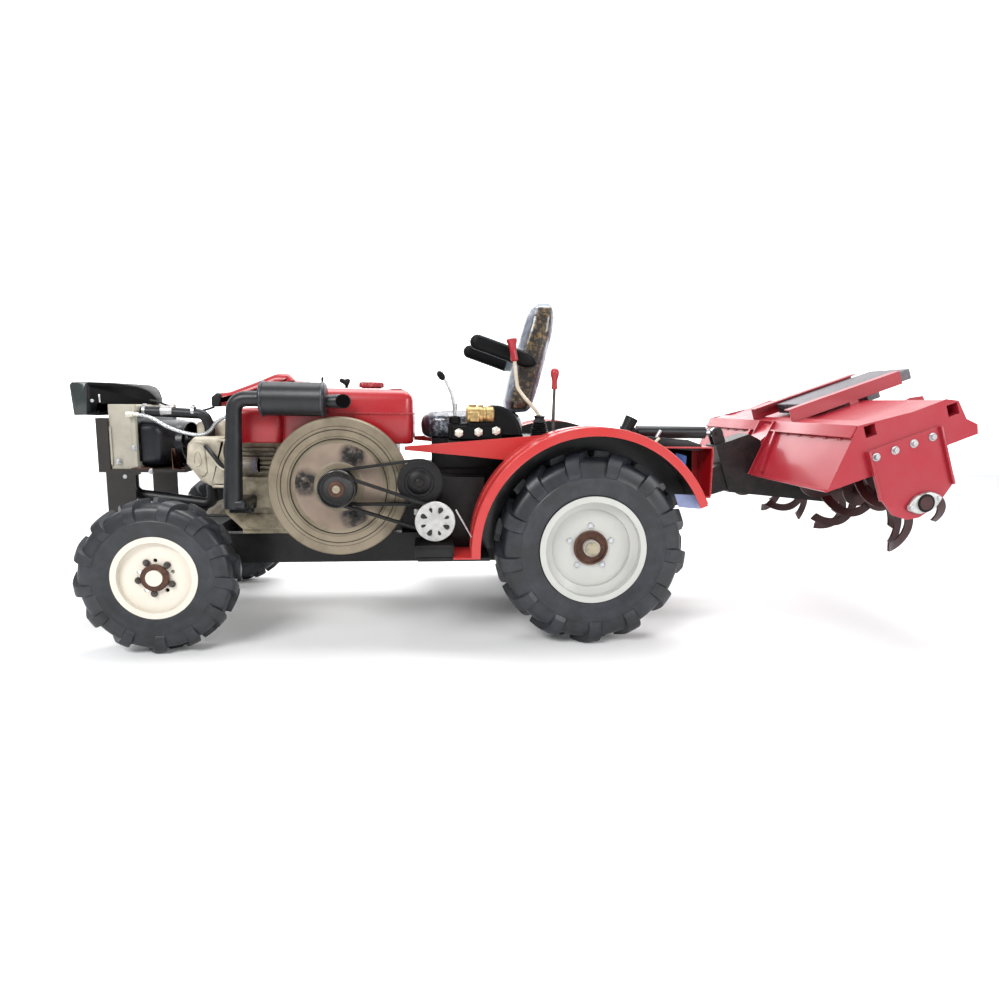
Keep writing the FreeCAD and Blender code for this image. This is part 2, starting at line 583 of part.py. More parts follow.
# ---- knuckles and tie rod --------------------------------------------------------------------
boss_top = "beam_bottom + boss_high"
lower_ear = "beam_bottom - running_gap - ear_thick"
web_in = f"{kingpin_y} + web_out"
knuckle = fused(
    "knuckle",
    rod("kingpin", ("-wheelbase", f"-({kingpin_y})", lower_ear), "kingpin_radius",
        "boss_high + 2 * (ear_thick + running_gap)", "Z"),
    rod("lower_ear", ("-wheelbase", f"-({kingpin_y})", lower_ear), "ear_radius", "ear_thick", "Z"),
    rod("upper_ear", ("-wheelbase", f"-({kingpin_y})", f"{boss_top} + running_gap"),
        "ear_radius", "ear_thick", "Z"),
    box("lower_arm", ("-wheelbase - ear_radius", f"-({web_in})", lower_ear),
        ("2 * ear_radius", "web_out", "ear_thick")),
    box("upper_arm", ("-wheelbase - ear_radius", f"-({web_in})", f"{boss_top} + running_gap"),
        ("2 * ear_radius", "web_out", "ear_thick")),
    box("knuckle_web", ("-wheelbase - ear_radius", f"-({web_in}) - web_thick", lower_ear),
        ("2 * ear_radius", "web_thick", "boss_high + 2 * (ear_thick + running_gap)")),
    rod("spindle", ("-wheelbase", f"-({web_in}) - spindle_out", "front_tyre_radius"),
        "spindle_radius", "spindle_out", "Y"),
    box("steering_arm", ("-wheelbase", f"-({kingpin_y}) - arm_wide / 2", lower_ear),
        ("arm_long", "arm_wide", "ear_thick")),
    rod("arm_end", ("-wheelbase + arm_long", f"-({kingpin_y})", lower_ear), "arm_wide / 2",
        "ear_thick", "Z"),
    rod("track_pin", ("-wheelbase + arm_long", f"-({kingpin_y})", lower_ear),
        "track_pin_radius", "ear_thick + track_pin_high", "Z"))
part("left_knuckle", knuckle)
part("right_knuckle", other_side("right_knuckle", knuckle))

tie_bottom = "beam_bottom - running_gap + 3"
tie_eye = rod("tie_eye", ("-wheelbase + arm_long", f"-({kingpin_y})", tie_bottom),
              "tie_eye_radius", "tie_eye_high", "Z")
tie_hole = rod("tie_hole", ("-wheelbase + arm_long", f"-({kingpin_y})", "beam_bottom - ear_thick"),
               "track_pin_radius + running_gap", "3 * ear_thick", "Z")
tie_bar = rod("tie_bar", ("-wheelbase + arm_long", f"-({kingpin_y})",
                          f"{tie_bottom} + tie_eye_high / 2"),
              "tie_rod_radius", f"2 * ({kingpin_y})", "Y")
part("tie_rod", cut("tie_rod", fused("tie_solid", tie_bar, tie_eye,
                                     other_side("right_tie_eye", tie_eye)),
                    tie_hole, other_side("right_tie_hole", tie_hole)))

# ---- engine ----------------------------------------------------------------------------------
# The block stands on its feet on the rails. Its crankshaft runs across, with the flywheel and
# the pulleys on the left.
block_bottom = f"{rail_top} + foot_high"
block_top = f"{rail_top} + foot_high + block_high"
engine = plate("engine_cast", "XZ_Plane", [
    ("-block_front", f"{block_bottom} + 60"), ("-block_front + 60", block_bottom),
    ("-block_rear - 40", block_bottom), ("-block_rear", f"{block_bottom} + 45"),
    ("-block_rear", block_top), ("-block_front", block_top)],
    "-block_left", "block_left + block_right")
feet = box("engine_feet", ("-foot_front", f"-({rail_out})", rail_top),
           ("foot_front - foot_rear", f"2 * ({rail_out})", "foot_high"))
cover = box("timing_cover", ("-crank_x - 140", "block_right", f"{block_bottom} + 30"),
            ("280", "35", "block_high - 70"))
ribs = [box(f"rib_{k}", ("-rib_front", "-block_left - rib_out", f"rib_first + {k} * rib_step"),
            ("rib_front - rib_rear", "2 * rib_out", "rib_thick"))
        for k in range(int(size("rib_count")))]
oil_filter = rod("oil_filter", ("-filter_x", "-block_left - filter_radius - rib_out / 4",
                                "filter_high"), "filter_radius", "filter_long", "X")
crank_hole = rod("crank_hole", ("-crank_x", "-block_left", "crank_high"),
                 "crank_radius + running_gap", "crank_deep + 5", "Y")
part("engine_block", cut("engine_block", fused("engine_solid", engine, feet, cover, *ribs,
                                               oil_filter), crank_hole))

head_top = "head_bottom + head_high"
head_front = "block_front + head_long"
head_cast = plate("head_cast", "XZ_Plane", [
    ("-block_front", "head_bottom"), ("-block_front", head_top),
    ("-block_front - 0.78 * head_long", head_top), (f"-({head_front}) + 7", f"{head_top} - 29"),
    (f"-({head_front})", "head_bottom + 87"), (f"-({head_front}) + 25", "head_bottom + 55"),
    ("-block_front - 0.65 * head_long", "head_bottom + 21"),
    ("-block_front - 0.4 * head_long", "head_bottom")],
    "-head_left", "head_left + head_right")
rocker = box("rocker_cover", ("-rocker_front", "-rocker_left", f"{head_top} - 7"),
             ("rocker_front - rocker_rear", "rocker_left + rocker_right", "rocker_high + 7"))
part("cylinder_head", fused("cylinder_head", head_cast, rocker))


def crank_disc(radius, left, right):
    """A disc about the crankshaft between two Y planes."""
    x, z = -size("crank_x"), size("crank_high")
    return bar((x, left, z), (x, right, z), radius)


def around(x, z, circle, turn):
    """The X and Z of a point on a circle of the given diameter, at an angle."""
    return x + circle / 2 * math.cos(turn), z + circle / 2 * math.sin(turn)


fly_left = -size("flywheel_out")
web = fly_left + size("web_deep")
web_ring = crank_disc(size("web_radius"), fly_left, web).cut(
    crank_disc(size("web_boss_radius"), fly_left, web))
pockets = []
for k in range(int(size("pocket_count"))):
    turn = math.radians(size("pocket_first")) + 2 * math.pi * k / size("pocket_count")
    x, z = around(-size("crank_x"), size("crank_high"), size("pocket_circle"), turn)
    pockets.append(bar((x, web, z), (x, web + size("pocket_deep"), z), size("pocket_radius")))
wheel_disc = crank_disc(size("flywheel_radius"), fly_left, fly_left + size("flywheel_thick"))
crank_end = crank_disc(size("crank_radius"), fly_left + size("web_deep"),
                       size("crank_deep") - size("block_left"))
part("flywheel", shape_piece("flywheel", wheel_disc.cut([web_ring, *pockets]).fuse(crank_end)
                             .removeSplitter()))
part("crank_pulley", fused(
    "crank_pulley",
    rod("main_groove", ("-crank_x", "-flywheel_out - groove_wide", "crank_high"),
        "crank_pulley_radius", "groove_wide", "Y"),
    rod("fan_groove", ("-crank_x", "-flywheel_out - 2 * groove_wide", "crank_high"),
        "fan_groove_radius", "groove_wide", "Y")))

tank_top = f"{block_top} + tank_high"
part("fuel_tank", plate("fuel_tank", "XZ_Plane", [
    ("-tank_front", block_top), ("-tank_rear", block_top),
    ("-tank_rear", f"{tank_top} - tank_round"), ("-tank_rear - tank_round", tank_top),
    ("-tank_step", tank_top), ("-tank_step - 30", f"{block_top} + tank_nose_high"),
    ("-tank_front + 14", f"{block_top} + tank_nose_high"),
    ("-tank_front", f"{block_top} + tank_nose_high - 14")],
    "-tank_left", "tank_left + tank_right"))
part("fuel_cap", rod("fuel_cap", ("-cap_x", "-cap_left", tank_top), "cap_radius", "cap_high", "Z"))
cowl_long = "(cowl_front - tank_step)"
part("front_cowl", plate("front_cowl", "XZ_Plane", [
    ("-cowl_front", f"{block_top} + tank_nose_high + 6"),
    ("-cowl_front + 4", f"{block_top} + tank_nose_high + 40"),
    (f"-cowl_front + 0.22 * {cowl_long}", f"{block_top} + tank_nose_high + 54"),
    (f"-cowl_front + 0.55 * {cowl_long}", f"{block_top} + cowl_high - 38"),
    (f"-cowl_front + 0.81 * {cowl_long}", f"{block_top} + cowl_high"),
    ("-tank_step - 18", f"{block_top} + cowl_high"),
    ("-tank_step + 6", f"{block_top} + cowl_high - 24"),
    ("-tank_step + 16", tank_top),
    ("-tank_step", tank_top), ("-tank_step - 30", f"{block_top} + tank_nose_high"),
    ("-tank_front + 14", f"{block_top} + tank_nose_high"),
    ("-tank_front", f"{block_top} + tank_nose_high + 2")],
    "-cowl_left", "cowl_left + cowl_right"))

muffler_run = hose([(-size("pipe_x"), -size("block_left"), size("pipe_foot_high")),
                    (-size("pipe_x"), -size("muffler_left"), size("pipe_foot_high")),
                    (-size("pipe_x"), -size("muffler_left"), size("muffler_high")),
                    (-size("muffler_front") + size("pipe_in"), -size("muffler_left"),
                     size("muffler_high"))], size("pipe_radius"))
muffler_can = bar((-size("muffler_front"), -size("muffler_left"), size("muffler_high")),
                  (-size("muffler_rear"), -size("muffler_left"), size("muffler_high")),
                  size("muffler_radius"))
muffler_tail = bar((-size("muffler_rear"), -size("muffler_left"), size("muffler_high")),
                   (-size("muffler_rear") + size("tail_long"), -size("muffler_left"),
                    size("muffler_high")), size("tail_radius"))
manifold = Part.makeBox(
    size("manifold_front") - size("manifold_rear"), size("manifold_out"), size("manifold_high"),
    FreeCAD.Vector(-size("manifold_front"), -size("block_left") - size("manifold_out"),
                   size("pipe_foot_high") - size("manifold_high") + size("pipe_radius") / 4))
part("muffler", shape_piece("muffler", muffler_run.fuse([muffler_can, muffler_tail, manifold])
                            .removeSplitter()))

part("air_cleaner", fused(
    "air_cleaner",
    rod("cleaner_can", ("-cleaner_x", "tank_right + cleaner_radius + 6", "cleaner_bottom"),
        "cleaner_radius", "cleaner_high", "Z"),
    box("cleaner_strap", ("-cleaner_x - 25", "block_right", "cleaner_bottom + 20"),
        ("50", "tank_right + cleaner_radius + 6 - block_right", "60"))))

# ---- cooling and lamps -----------------------------------------------------------------------
outlet_x = "-((radiator_front + radiator_rear) / 2)"
outlet = box("outlet", (f"{outlet_x} - outlet_half", "-hose_left - outlet_half",
                        "shelf_high - outlet_deep"),
             ("2 * outlet_half", "2 * outlet_half", "outlet_deep + 2 * shelf_thick"))
core = box("core", ("-radiator_front", "-radiator_half", shelf_top),
           ("radiator_front - radiator_rear", "2 * radiator_half", "radiator_high"))
fin_step = "2 * (radiator_half - fin_edge) / fin_count"
slots = [box(f"fin_slot_{k}", ("-radiator_front",
                               f"-radiator_half + fin_edge + fin_thick / 2 + {k} * {fin_step}",
                               f"{shelf_top} + fin_edge"),
             ("fin_deep", f"{fin_step} - fin_thick", "radiator_high - 2 * fin_edge"))
         for k in range(int(size("fin_count")))]
part("radiator", cut("radiator", fused("radiator_solid", core, outlet), *slots))
part("fan_shroud", box("fan_shroud", ("-radiator_rear", "-shroud_half", shelf_top),
                       ("radiator_rear - shroud_rear", "2 * shroud_half", "shroud_high")))
radiator_top = f"{shelf_top} + radiator_high"
lamp_front = "(shelf_front + lamp_overhang)"
lamp_solid = plate("lamp_solid", "XZ_Plane", [
    (f"-{lamp_front}", "lamp_box_bottom"), ("-shelf_front - 6", "lamp_box_bottom"),
    ("-shelf_front - 6", radiator_top),
    ("-lamp_rear", radiator_top), ("-lamp_rear", f"{radiator_top} + 20"),
    ("-lamp_rear - 25", f"{radiator_top} + 52"), ("-radiator_front + 35", "lamp_box_top"),
    (f"-{lamp_front}", "lamp_box_top - 3")], "-front_half", "2 * front_half")
lamp_side = plate("lamp_side", "XY_Plane", [
    ("-lamp_taper", "-front_half - 1"), ("-lamp_rear + 1", "-front_half - 1"),
    ("-lamp_rear + 1", "-lamp_rear_half"), ("-lamp_taper", "-front_half")],
    "lamp_box_bottom", "2 * (lamp_box_top - lamp_box_bottom)")
lamp_high = "(lamp_box_bottom + lamp_box_top) / 2"
lamp_seat = rod("lamp_seat", (f"-{lamp_front}", "-lamp_apart / 2", lamp_high),
                "lamp_radius + seat_gap", "lamp_deep", "X")
part("lamp_box", cut("lamp_box", lamp_solid, lamp_seat, other_side("right_lamp_seat", lamp_seat),
                     lamp_side, other_side("right_lamp_side", lamp_side)))
part("headlamps", both_sides("headlamps", rod(
    "headlamp", (f"-{lamp_front}", "-lamp_apart / 2", lamp_high), "lamp_radius", "lamp_deep",
    "X")))

upper_z = size("shelf_high") + size("shelf_thick") + size("radiator_high") - 26
head_x = -size("block_front") - size("head_long") / 2
upper_hose = hose([(-size("radiator_rear"), -size("hose_left"), upper_z),
                   (-size("radiator_rear") + 60, -size("hose_left"), upper_z),
                   (head_x - 18, -size("hose_left"), upper_z - 8),
                   (head_x, -size("hose_left"), upper_z - 50),
                   (head_x, -size("hose_left"), size("head_bottom") + size("head_high"))],
                  size("hose_radius"))
neck_x = -(size("radiator_front") + size("radiator_rear")) / 2
neck_z = size("shelf_high") - size("outlet_deep")
lower_hose = hose([(neck_x, -size("hose_left"), neck_z),
                   (neck_x, -size("hose_left"), neck_z - size("hose_drop")),
                   (head_x, -size("hose_left"), size("head_bottom") - size("hose_drop")),
                   (head_x, -size("hose_left"), size("head_bottom"))],
                  size("low_hose_radius"))
part("coolant_hoses", shape_piece("coolant_hoses", Part.Compound([upper_hose, lower_hose])))

# ---- drive -----------------------------------------------------------------------------------
case = fused(
    "case_solid",
    box("front_case", ("-case_front", "-front_case_half", "front_case_bottom"),
        ("case_front - case_step", "2 * front_case_half", "case_top - front_case_bottom")),
    box("rear_case", ("-case_step", "-rear_case_half", "rear_case_bottom"),
        ("case_step + case_rear", "2 * rear_case_half", "case_top - rear_case_bottom")),
    rod("axle_tube", ("0 * case_top", "-fender_in", "rear_tyre_radius"), "axle_tube_radius",
        "2 * fender_in", "Y"),
    rod("left_axle_plate", ("0 * case_top", "-fender_in", "rear_tyre_radius"),
        "axle_plate_radius", "axle_plate_thick", "Y"),
    rod("right_axle_plate", ("0 * case_top", "fender_in - axle_plate_thick", "rear_tyre_radius"),
        "axle_plate_radius", "axle_plate_thick", "Y"),
    rod("axle_stubs", ("0 * case_top", "-fender_in - rear_stub_out", "rear_tyre_radius"),
        "rear_stub_radius", "2 * (fender_in + rear_stub_out)", "Y"),
    *[box(f"hinge_ear_{side}", ("case_rear", y, "hinge_high - hinge_eye_radius"),
          ("hinge_x - case_rear", "hinge_ear_thick", "2 * hinge_eye_radius"))
      for side, y in (("left", "-neck_half - ear_gap - hinge_ear_thick"),
                      ("right", "neck_half + ear_gap"))],
    *[rod(f"hinge_end_{side}", ("hinge_x", y, "hinge_high"), "hinge_eye_radius",
          "hinge_ear_thick", "Y")
      for side, y in (("left", "-neck_half - ear_gap - hinge_ear_thick"),
                      ("right", "neck_half + ear_gap"))],
    rod("hinge_pin", ("hinge_x", "-neck_half - ear_gap - hinge_ear_thick", "hinge_high"),
        "hinge_pin_radius", "2 * (neck_half + ear_gap + hinge_ear_thick)", "Y"))
clutch_hole = rod("clutch_hole", ("-clutch_x", "-front_case_half", "clutch_high"),
                  "clutch_shaft_radius + running_gap", "shaft_deep + 5", "Y")
part("gearbox", cut("gearbox", case, clutch_hole))

part("clutch_pulley", fused(
    "clutch_pulley",
    rod("clutch_disc", ("-clutch_x", "-flywheel_out - groove_wide", "clutch_high"),
        "clutch_radius", "groove_wide", "Y"),
    rod("clutch_shaft", ("-clutch_x", "-flywheel_out - groove_wide", "clutch_high"),
        "clutch_shaft_radius", "flywheel_out + groove_wide - front_case_half + shaft_deep",
        "Y")))

fan_out = "flywheel_out + 2 * groove_wide"
alternator_left = f"{fan_out} - groove_wide"
board = box("board", ("-board_front", f"-({rail_out}) - board_wide", "board_top - board_thick"),
            ("board_front - board_rear", "board_wide", "board_thick"))
part("footboards", both_sides("footboards", board))
part("alternator", cut("alternator", fused(
    "alternator_solid",
    rod("alternator_can", ("-fan_x", f"-({alternator_left}) + 6", "fan_high"),
        "alternator_radius", "alternator_long", "Y"),
    box("alternator_foot", ("-fan_x - 30", f"-({alternator_left}) + 30", "board_top"),
        ("60", "14", "fan_high - board_top"))),
    rod("alternator_hole", ("-fan_x", f"-({alternator_left}) + 6", "fan_high"),
        "clutch_shaft_radius + running_gap", "shaft_deep + 5", "Y")))
windows = []
for k in range(int(size("fan_hole_count"))):
    x, z = around(-size("fan_x"), size("fan_high"), size("fan_hole_circle"),
                  2 * math.pi * k / size("fan_hole_count"))
    left = -size("flywheel_out") - 2 * size("groove_wide") - size("fan_thick")
    windows.append(bar((x, left, z), (x, left + size("fan_thick"), z), size("fan_hole_radius")))
part("alternator_pulley", cut("alternator_pulley", fused(
    "fan_solid",
    rod("fan_disc", ("-fan_x", f"-({fan_out}) - fan_thick", "fan_high"), "fan_radius",
        "fan_thick", "Y"),
    rod("fan_belt_groove", ("-fan_x", f"-({fan_out})", "fan_high"), "fan_pulley_radius",
        "groove_wide", "Y"),
    rod("fan_shaft", ("-fan_x", f"-({fan_out})", "fan_high"), "clutch_shaft_radius",
        "groove_wide + 6 + shaft_deep", "Y")),
    shape_piece("fan_windows", Part.Compound(windows))))

crank = (-size("crank_x"), size("crank_high"))
fly_out, groove = size("flywheel_out"), size("groove_wide")
half_belt = size("belt_wide") / 2
main_middle = -fly_out - groove / 2
fan_middle = -fly_out - 1.5 * groove
main_belt = belt((*crank, size("crank_pulley_radius")),
                 (-size("clutch_x"), size("clutch_high"), size("clutch_radius")),
                 size("belt_thick"), main_middle - half_belt, main_middle + half_belt)
fan_belt = belt((*crank, size("fan_groove_radius")),
                (-size("fan_x"), size("fan_high"), size("fan_pulley_radius")),
                size("belt_thick"), fan_middle - half_belt, fan_middle + half_belt)
part("drive_belts", shape_piece("drive_belts", Part.Compound([main_belt, fan_belt])))

part("battery_box", box("battery_box", ("-battery_front", "-battery_out", "board_top"),
                        ("battery_front - battery_rear", "battery_wide", "battery_high")))

# ---- fenders ---------------------------------------------------------------------------------
# An arched top, a lip round its outer edge, an inner wall bolted to the axle plate, and a wing
# that tapers forward beside the seat.

def fender_shape():
    centre = FreeCAD.Vector(0, 0, size("rear_tyre_radius"))
    radius, wall = size("fender_radius"), size("fender_wall")
    near, far = -size("fender_in"), -size("fender_out")
    end = math.radians(size("fender_rear_angle"))
    foot = size("board_top")

    def sector(outer, inner, low, high):
        back = -(2 * outer)
        ring = Part.makeCylinder(outer, high - low, centre + FreeCAD.Vector(0, low, 0),
                                 FreeCAD.Vector(0, 1, 0))
        ring = ring.cut(Part.makeCylinder(inner, high - low, centre + FreeCAD.Vector(0, low, 0),
                                          FreeCAD.Vector(0, 1, 0)))
        keep = flat([(0, centre.z), (2 * outer * math.cos(end), centre.z + 2 * outer *
                                     math.sin(end)),
                     (0, 3 * outer), (back, 3 * outer), (back, foot), (0, foot)], low, high)
        return ring.common(keep)

    top = sector(radius, radius - wall, far, near)
    lip = sector(radius, radius - size("fender_lip"), far, far + wall)
    inner = sector(radius, size("fender_hole"), near - wall, near)
    front = -size("fender_foot_front")
    foot_plate = Part.makeBox(-front - radius + 3 * wall, near - far, wall,
                              FreeCAD.Vector(front, far, foot))
    wing = flat([(-size("wing_front"), size("wing_high")),
                 (-size("wing_front"), size("wing_high") - size("wing_tip")),
                 (-radius, size("wing_high") - 2.5 * size("wing_tip")),
                 (-0.68 * radius, size("wing_high") - 3.5 * size("wing_tip")),
                 (-radius / 3, size("wing_high") + 3.4 * size("wing_tip"))], near - wall, near)
    return top.fuse([lip, inner, foot_plate, wing]).removeSplitter()


left_fender = shape_piece("left_fender", fender_shape())
part("left_fender", left_fender)
part("right_fender", other_side("right_fender", left_fender))

# ---- lift, seat and controls -----------------------------------------------------------------
lift_ears = [rod(f"ram_ear_{side}", ("ram_x", y, "ram_high"), "ram_ear_radius", "ram_ear_thick",
                 "Y") for side, y in (("left", "-ram_eye_half - 1 - ram_ear_thick"),
                                      ("right", "ram_eye_half + 1"))]
lift_cheeks = [box(f"ram_cheek_{side}", ("case_rear - ram_ear_radius", y,
                                         "ram_high - 2 * ram_ear_radius"),
                   ("ram_x - case_rear + ram_ear_radius", "ram_ear_thick",
                    "3 * ram_ear_radius"))
               for side, y in (("left", "-ram_eye_half - 1 - ram_ear_thick"),
                               ("right", "ram_eye_half + 1"))]
ram_pin = rod("ram_pin", ("ram_x", "-ram_eye_half - 1 - ram_ear_thick", "ram_high"),
              "ram_pin_radius", "2 * (ram_eye_half + 1 + ram_ear_thick)", "Y")
part("lift_housing", fused(
    "lift_housing",
    box("lift_box", ("-lift_box_front", "-lift_box_half", "case_top"),
        ("lift_box_front + case_rear", "2 * lift_box_half", "lift_box_high")),
    *lift_ears, *lift_cheeks, ram_pin))

seat_top = "case_top + base_high"
ledge = box("ledge", ("-ledge_front", "-fender_in", f"{seat_top} - ledge_thick"),
            ("ledge_front - ledge_rear", "2 * fender_in", "ledge_thick"))
part("seat_base", fused(
    "seat_base",
    box("base_box", ("-base_front", "-base_half", "case_top"),
        ("base_front - base_rear", "2 * base_half", "base_high")),
    ledge))
part("seat_cushion", box("seat_cushion", ("-cushion_front", "-cushion_half",
                                          f"{seat_top} + seat_gap"),
                         ("cushion_front - cushion_rear", "2 * cushion_half",
                          "cushion_high")))
cushion_top = f"{seat_top} + cushion_high + seat_gap"
back_bottom, back_top = f"{cushion_top} + seat_gap", f"{cushion_top} + back_high"
part("seat_backrest", plate("seat_backrest", "XZ_Plane", [
    ("-back_foot - 0.45 * back_thick", back_bottom),
    ("-back_head - back_thick / 2 - 5", f"{back_top} - back_round"),
    ("-back_head - back_thick / 2 + 0.6 * back_round", back_top),
    ("-back_head + back_thick / 2 - 0.6 * back_round", back_top),
    ("-back_head + back_thick / 2 - 5", f"{back_top} - back_round"),
    ("-back_foot + 0.45 * back_thick", back_bottom)], "-back_half", "2 * back_half"))


def stadium(first, second, low, high):
    """Two round ends, each its X, Z and radius, and their tangents, between two Y planes."""
    return Part.Face(two_circles(first, second, low)).extrude(FreeCAD.Vector(0, high - low, 0))


arm_x, arm_z, arm_in = -size("armrest_rear"), size("armrest_rear_high"), -size("armrest_in")
arm_pin = bar((arm_x, arm_in - size("armrest_wide") / 2, arm_z),
              (arm_x, -size("back_half") - size("seat_gap"), arm_z), size("armrest_pin_radius"))
armrest = stadium((-size("armrest_front"), size("armrest_front_high"),
                   size("armrest_front_radius")),
                  (arm_x, arm_z, size("armrest_rear_radius")),
                  arm_in - size("armrest_wide"), arm_in).fuse(arm_pin)
part("armrests", both_sides("armrests", shape_piece("armrest", armrest)))

valve_body = box("valve_body", ("-valve_front", "-valve_left", seat_top),
                 ("valve_front - valve_rear", "valve_wide", "valve_high"))
dome = cut("dome",
           rod("dome_disc", ("-dome_x", "-valve_left", f"{seat_top} + dome_base"), "dome_radius",
               "valve_wide", "Y"),
           box("dome_below", ("-dome_x - 2 * dome_radius", "-valve_left",
                              f"{seat_top} - 2 * dome_radius"),
               ("4 * dome_radius", "valve_wide", "2 * dome_radius")))
part("hydraulic_valve", fused("hydraulic_valve", valve_body, dome))
lever_y, lever_r = -size("lever_left"), size("lever_radius")
ledge_z = size("case_top") + size("base_high")


def lever(end, base, bends):
    """A rod from its boot, bent at shares of its lean and height, with a grip on its last run."""
    x, high, lean = (size(f"{end}_lever_{what}") for what in ("x", "high", "lean"))
    corners = [FreeCAD.Vector(-x - lean * across, lever_y, base + high * up)
               for across, up in [(0, 0), *bends, (1, 1)]]
    boot_end = corners[0] + FreeCAD.Vector(0, 0, size(f"{end}_boot_high"))
    boot = bar(corners[0], boot_end, size(f"{end}_boot_radius"))
    grip = bar(corners[-2], corners[-1], size(f"{end}_grip_radius"))
    runs = [bar(start, stop, lever_r) for start, stop in zip(corners, corners[1:-1])]
    joints = [Part.makeSphere(lever_r, corner) for corner in corners[1:-2]]
    return boot.fuse([grip, *runs, *joints]).removeSplitter()


part("control_levers", shape_piece("control_levers", Part.Compound([
    lever("valve", ledge_z + size("valve_high"), [(0, 0.43), (0.52, 0.8)]),
    lever("gear", ledge_z, [(0, 0.25), (0.78, 0.5), (0.86, 0.78)]),
    lever("rear", ledge_z, [(0, 0.7)])])))

# ---- rear hitch ------------------------------------------------------------------------------
hitch_box = cut(
    "hitch_box",
    box("hitch_block", ("case_rear", "-hitch_box_out", "hitch_box_bottom"),
        ("hitch_box_rear - case_rear", "hitch_box_out - hitch_box_in", "hitch_box_high")),
    box("hitch_hollow", ("case_rear - hitch_box_wall", "-hitch_box_out - hitch_box_wall",
                         "hitch_box_bottom + hitch_box_wall"),
        ("hitch_box_rear - case_rear", "hitch_box_out - hitch_box_in",
         "hitch_box_high - 2 * hitch_box_wall")))
part("hitch_frame", both_sides("hitch_frame", hitch_box))

# ---- tiller, drawn level about its tine shaft ------------------------------------------------
tilt = math.radians(size("tiller_tilt"))
tiller_turn = FreeCAD.Rotation(FreeCAD.Vector(0, 1, 0), -size("tiller_tilt"))
tiller_place = FreeCAD.Placement(FreeCAD.Vector(size("shaft_x"), 0, size("shaft_high")),
                                 tiller_turn)


def on_tiller(x, z):
    """A point of the machine, seen from the level tiller."""
    dx, dz = x - size("shaft_x"), z - size("shaft_high")
    return (dx * math.cos(tilt) + dz * math.sin(tilt), -dx * math.sin(tilt) + dz * math.cos(tilt))


deck_in = "deck_half - side_thick"
side_outline = [
    ("-skirt_front", "skirt_bottom"), ("-deck_front", "ridge_high"),
    ("48", "deck_high"), ("deck_rear - 43", "deck_high + 3"), ("deck_rear", "deck_high - 17"),
    ("deck_rear + 15", "deck_high - 90"), ("tail_x", "tail_high"), ("tail_x - 6", "tail_bottom"),
    ("deck_rear + 8", "tail_bottom"), ("lower_rear", "skirt_bottom + 12"),
    ("-lower_front", "skirt_bottom")]
side_plate = plate("side_plate", "XZ_Plane", side_outline, "-deck_half", "side_thick")
deck = plate("deck", "XZ_Plane", [
    ("-deck_front - 3", "deck_high"), ("deck_rear - 43", "deck_high"), ("deck_rear", "deck_high - 17"),
    ("deck_rear + 15", "deck_high - 90"), ("tail_x", "tail_high"), ("tail_x", "tail_high - sheet"),
    ("deck_rear + 15 - sheet", "deck_high - 95"), ("deck_rear - sheet", "deck_high - 21"),
    ("deck_rear - 46", "deck_high - sheet"), ("-deck_front - 3", "deck_high - sheet")],
    f"-({deck_in})", f"2 * ({deck_in})")
front_panel = plate("front_panel", "XZ_Plane", [
    ("-skirt_front", "skirt_bottom"), ("-deck_front", "ridge_high"),
    ("-deck_front", "deck_high - sheet"), ("-deck_front - 14", "deck_high - sheet - 4"),
    ("-skirt_front + 8", "skirt_bottom")],
    f"-({deck_in})", f"{deck_in} - centre_gap / 2")


def tube_at(name, x, z, width, grow):
    return box(name, (f"{x} - ({width}) / 2", f"-deck_half - {grow}", f"{z} - ({width}) / 2"),
               (width, f"2 * (deck_half + {grow})", width))


gusset = plate("gusset", "XZ_Plane", [
    ("-skirt_front + 8", "skirt_bottom"), ("-deck_front", "ridge_high - 8"),
    ("-deck_front", "ridge_high + 4"), ("-deck_front - 18", "ridge_high + 4"),
    ("-skirt_front - 14", "skirt_bottom + 14")],
    "-centre_gap / 2 - gusset_wide", "gusset_wide")
centre_cover = plate("centre_cover", "XZ_Plane", [
    ("-deck_front - 3", "deck_high"), ("-deck_front - 3", "deck_high - sheet"),
    ("-gear_rear", "gear_top - 50"), ("-gear_rear", "gear_top - 42")],
    "-centre_gap / 2 - 1", "centre_gap + 2")
ear = plate("hood_ear", "XZ_Plane", [
    ("deck_rear + 6", "deck_high - 60"), ("deck_rear + 70", "deck_high - 64"),
    ("deck_rear + 96", "deck_high - 50"), ("deck_rear + 92", "deck_high - 28"),
    ("deck_rear + 40", "deck_high - 18"), ("deck_rear - 6", "deck_high - 24")],
    "-ear_out", "side_thick")
hood = cut(
    "tiller_hood",
    fused("hood_solid", gusset, other_side("right_gusset", gusset), centre_cover, ear,
          other_side("right_hood_ear", ear), side_plate, other_side("right_side_plate", side_plate), deck,
          front_panel, other_side("right_front_panel", front_panel),
          tube_at("front_tube", "-front_tube_x", "front_tube_high", "tube", "0"),
          tube_at("rear_tube", "rear_tube_x", "rear_tube_high", "tube", "0")),
    tube_at("front_bore", "-front_tube_x", "front_tube_high", "tube - 2 * tube_wall", "1"),
    tube_at("rear_bore", "rear_tube_x", "rear_tube_high", "tube - 2 * tube_wall", "1"))
part("tiller_hood", hood, tiller_place)

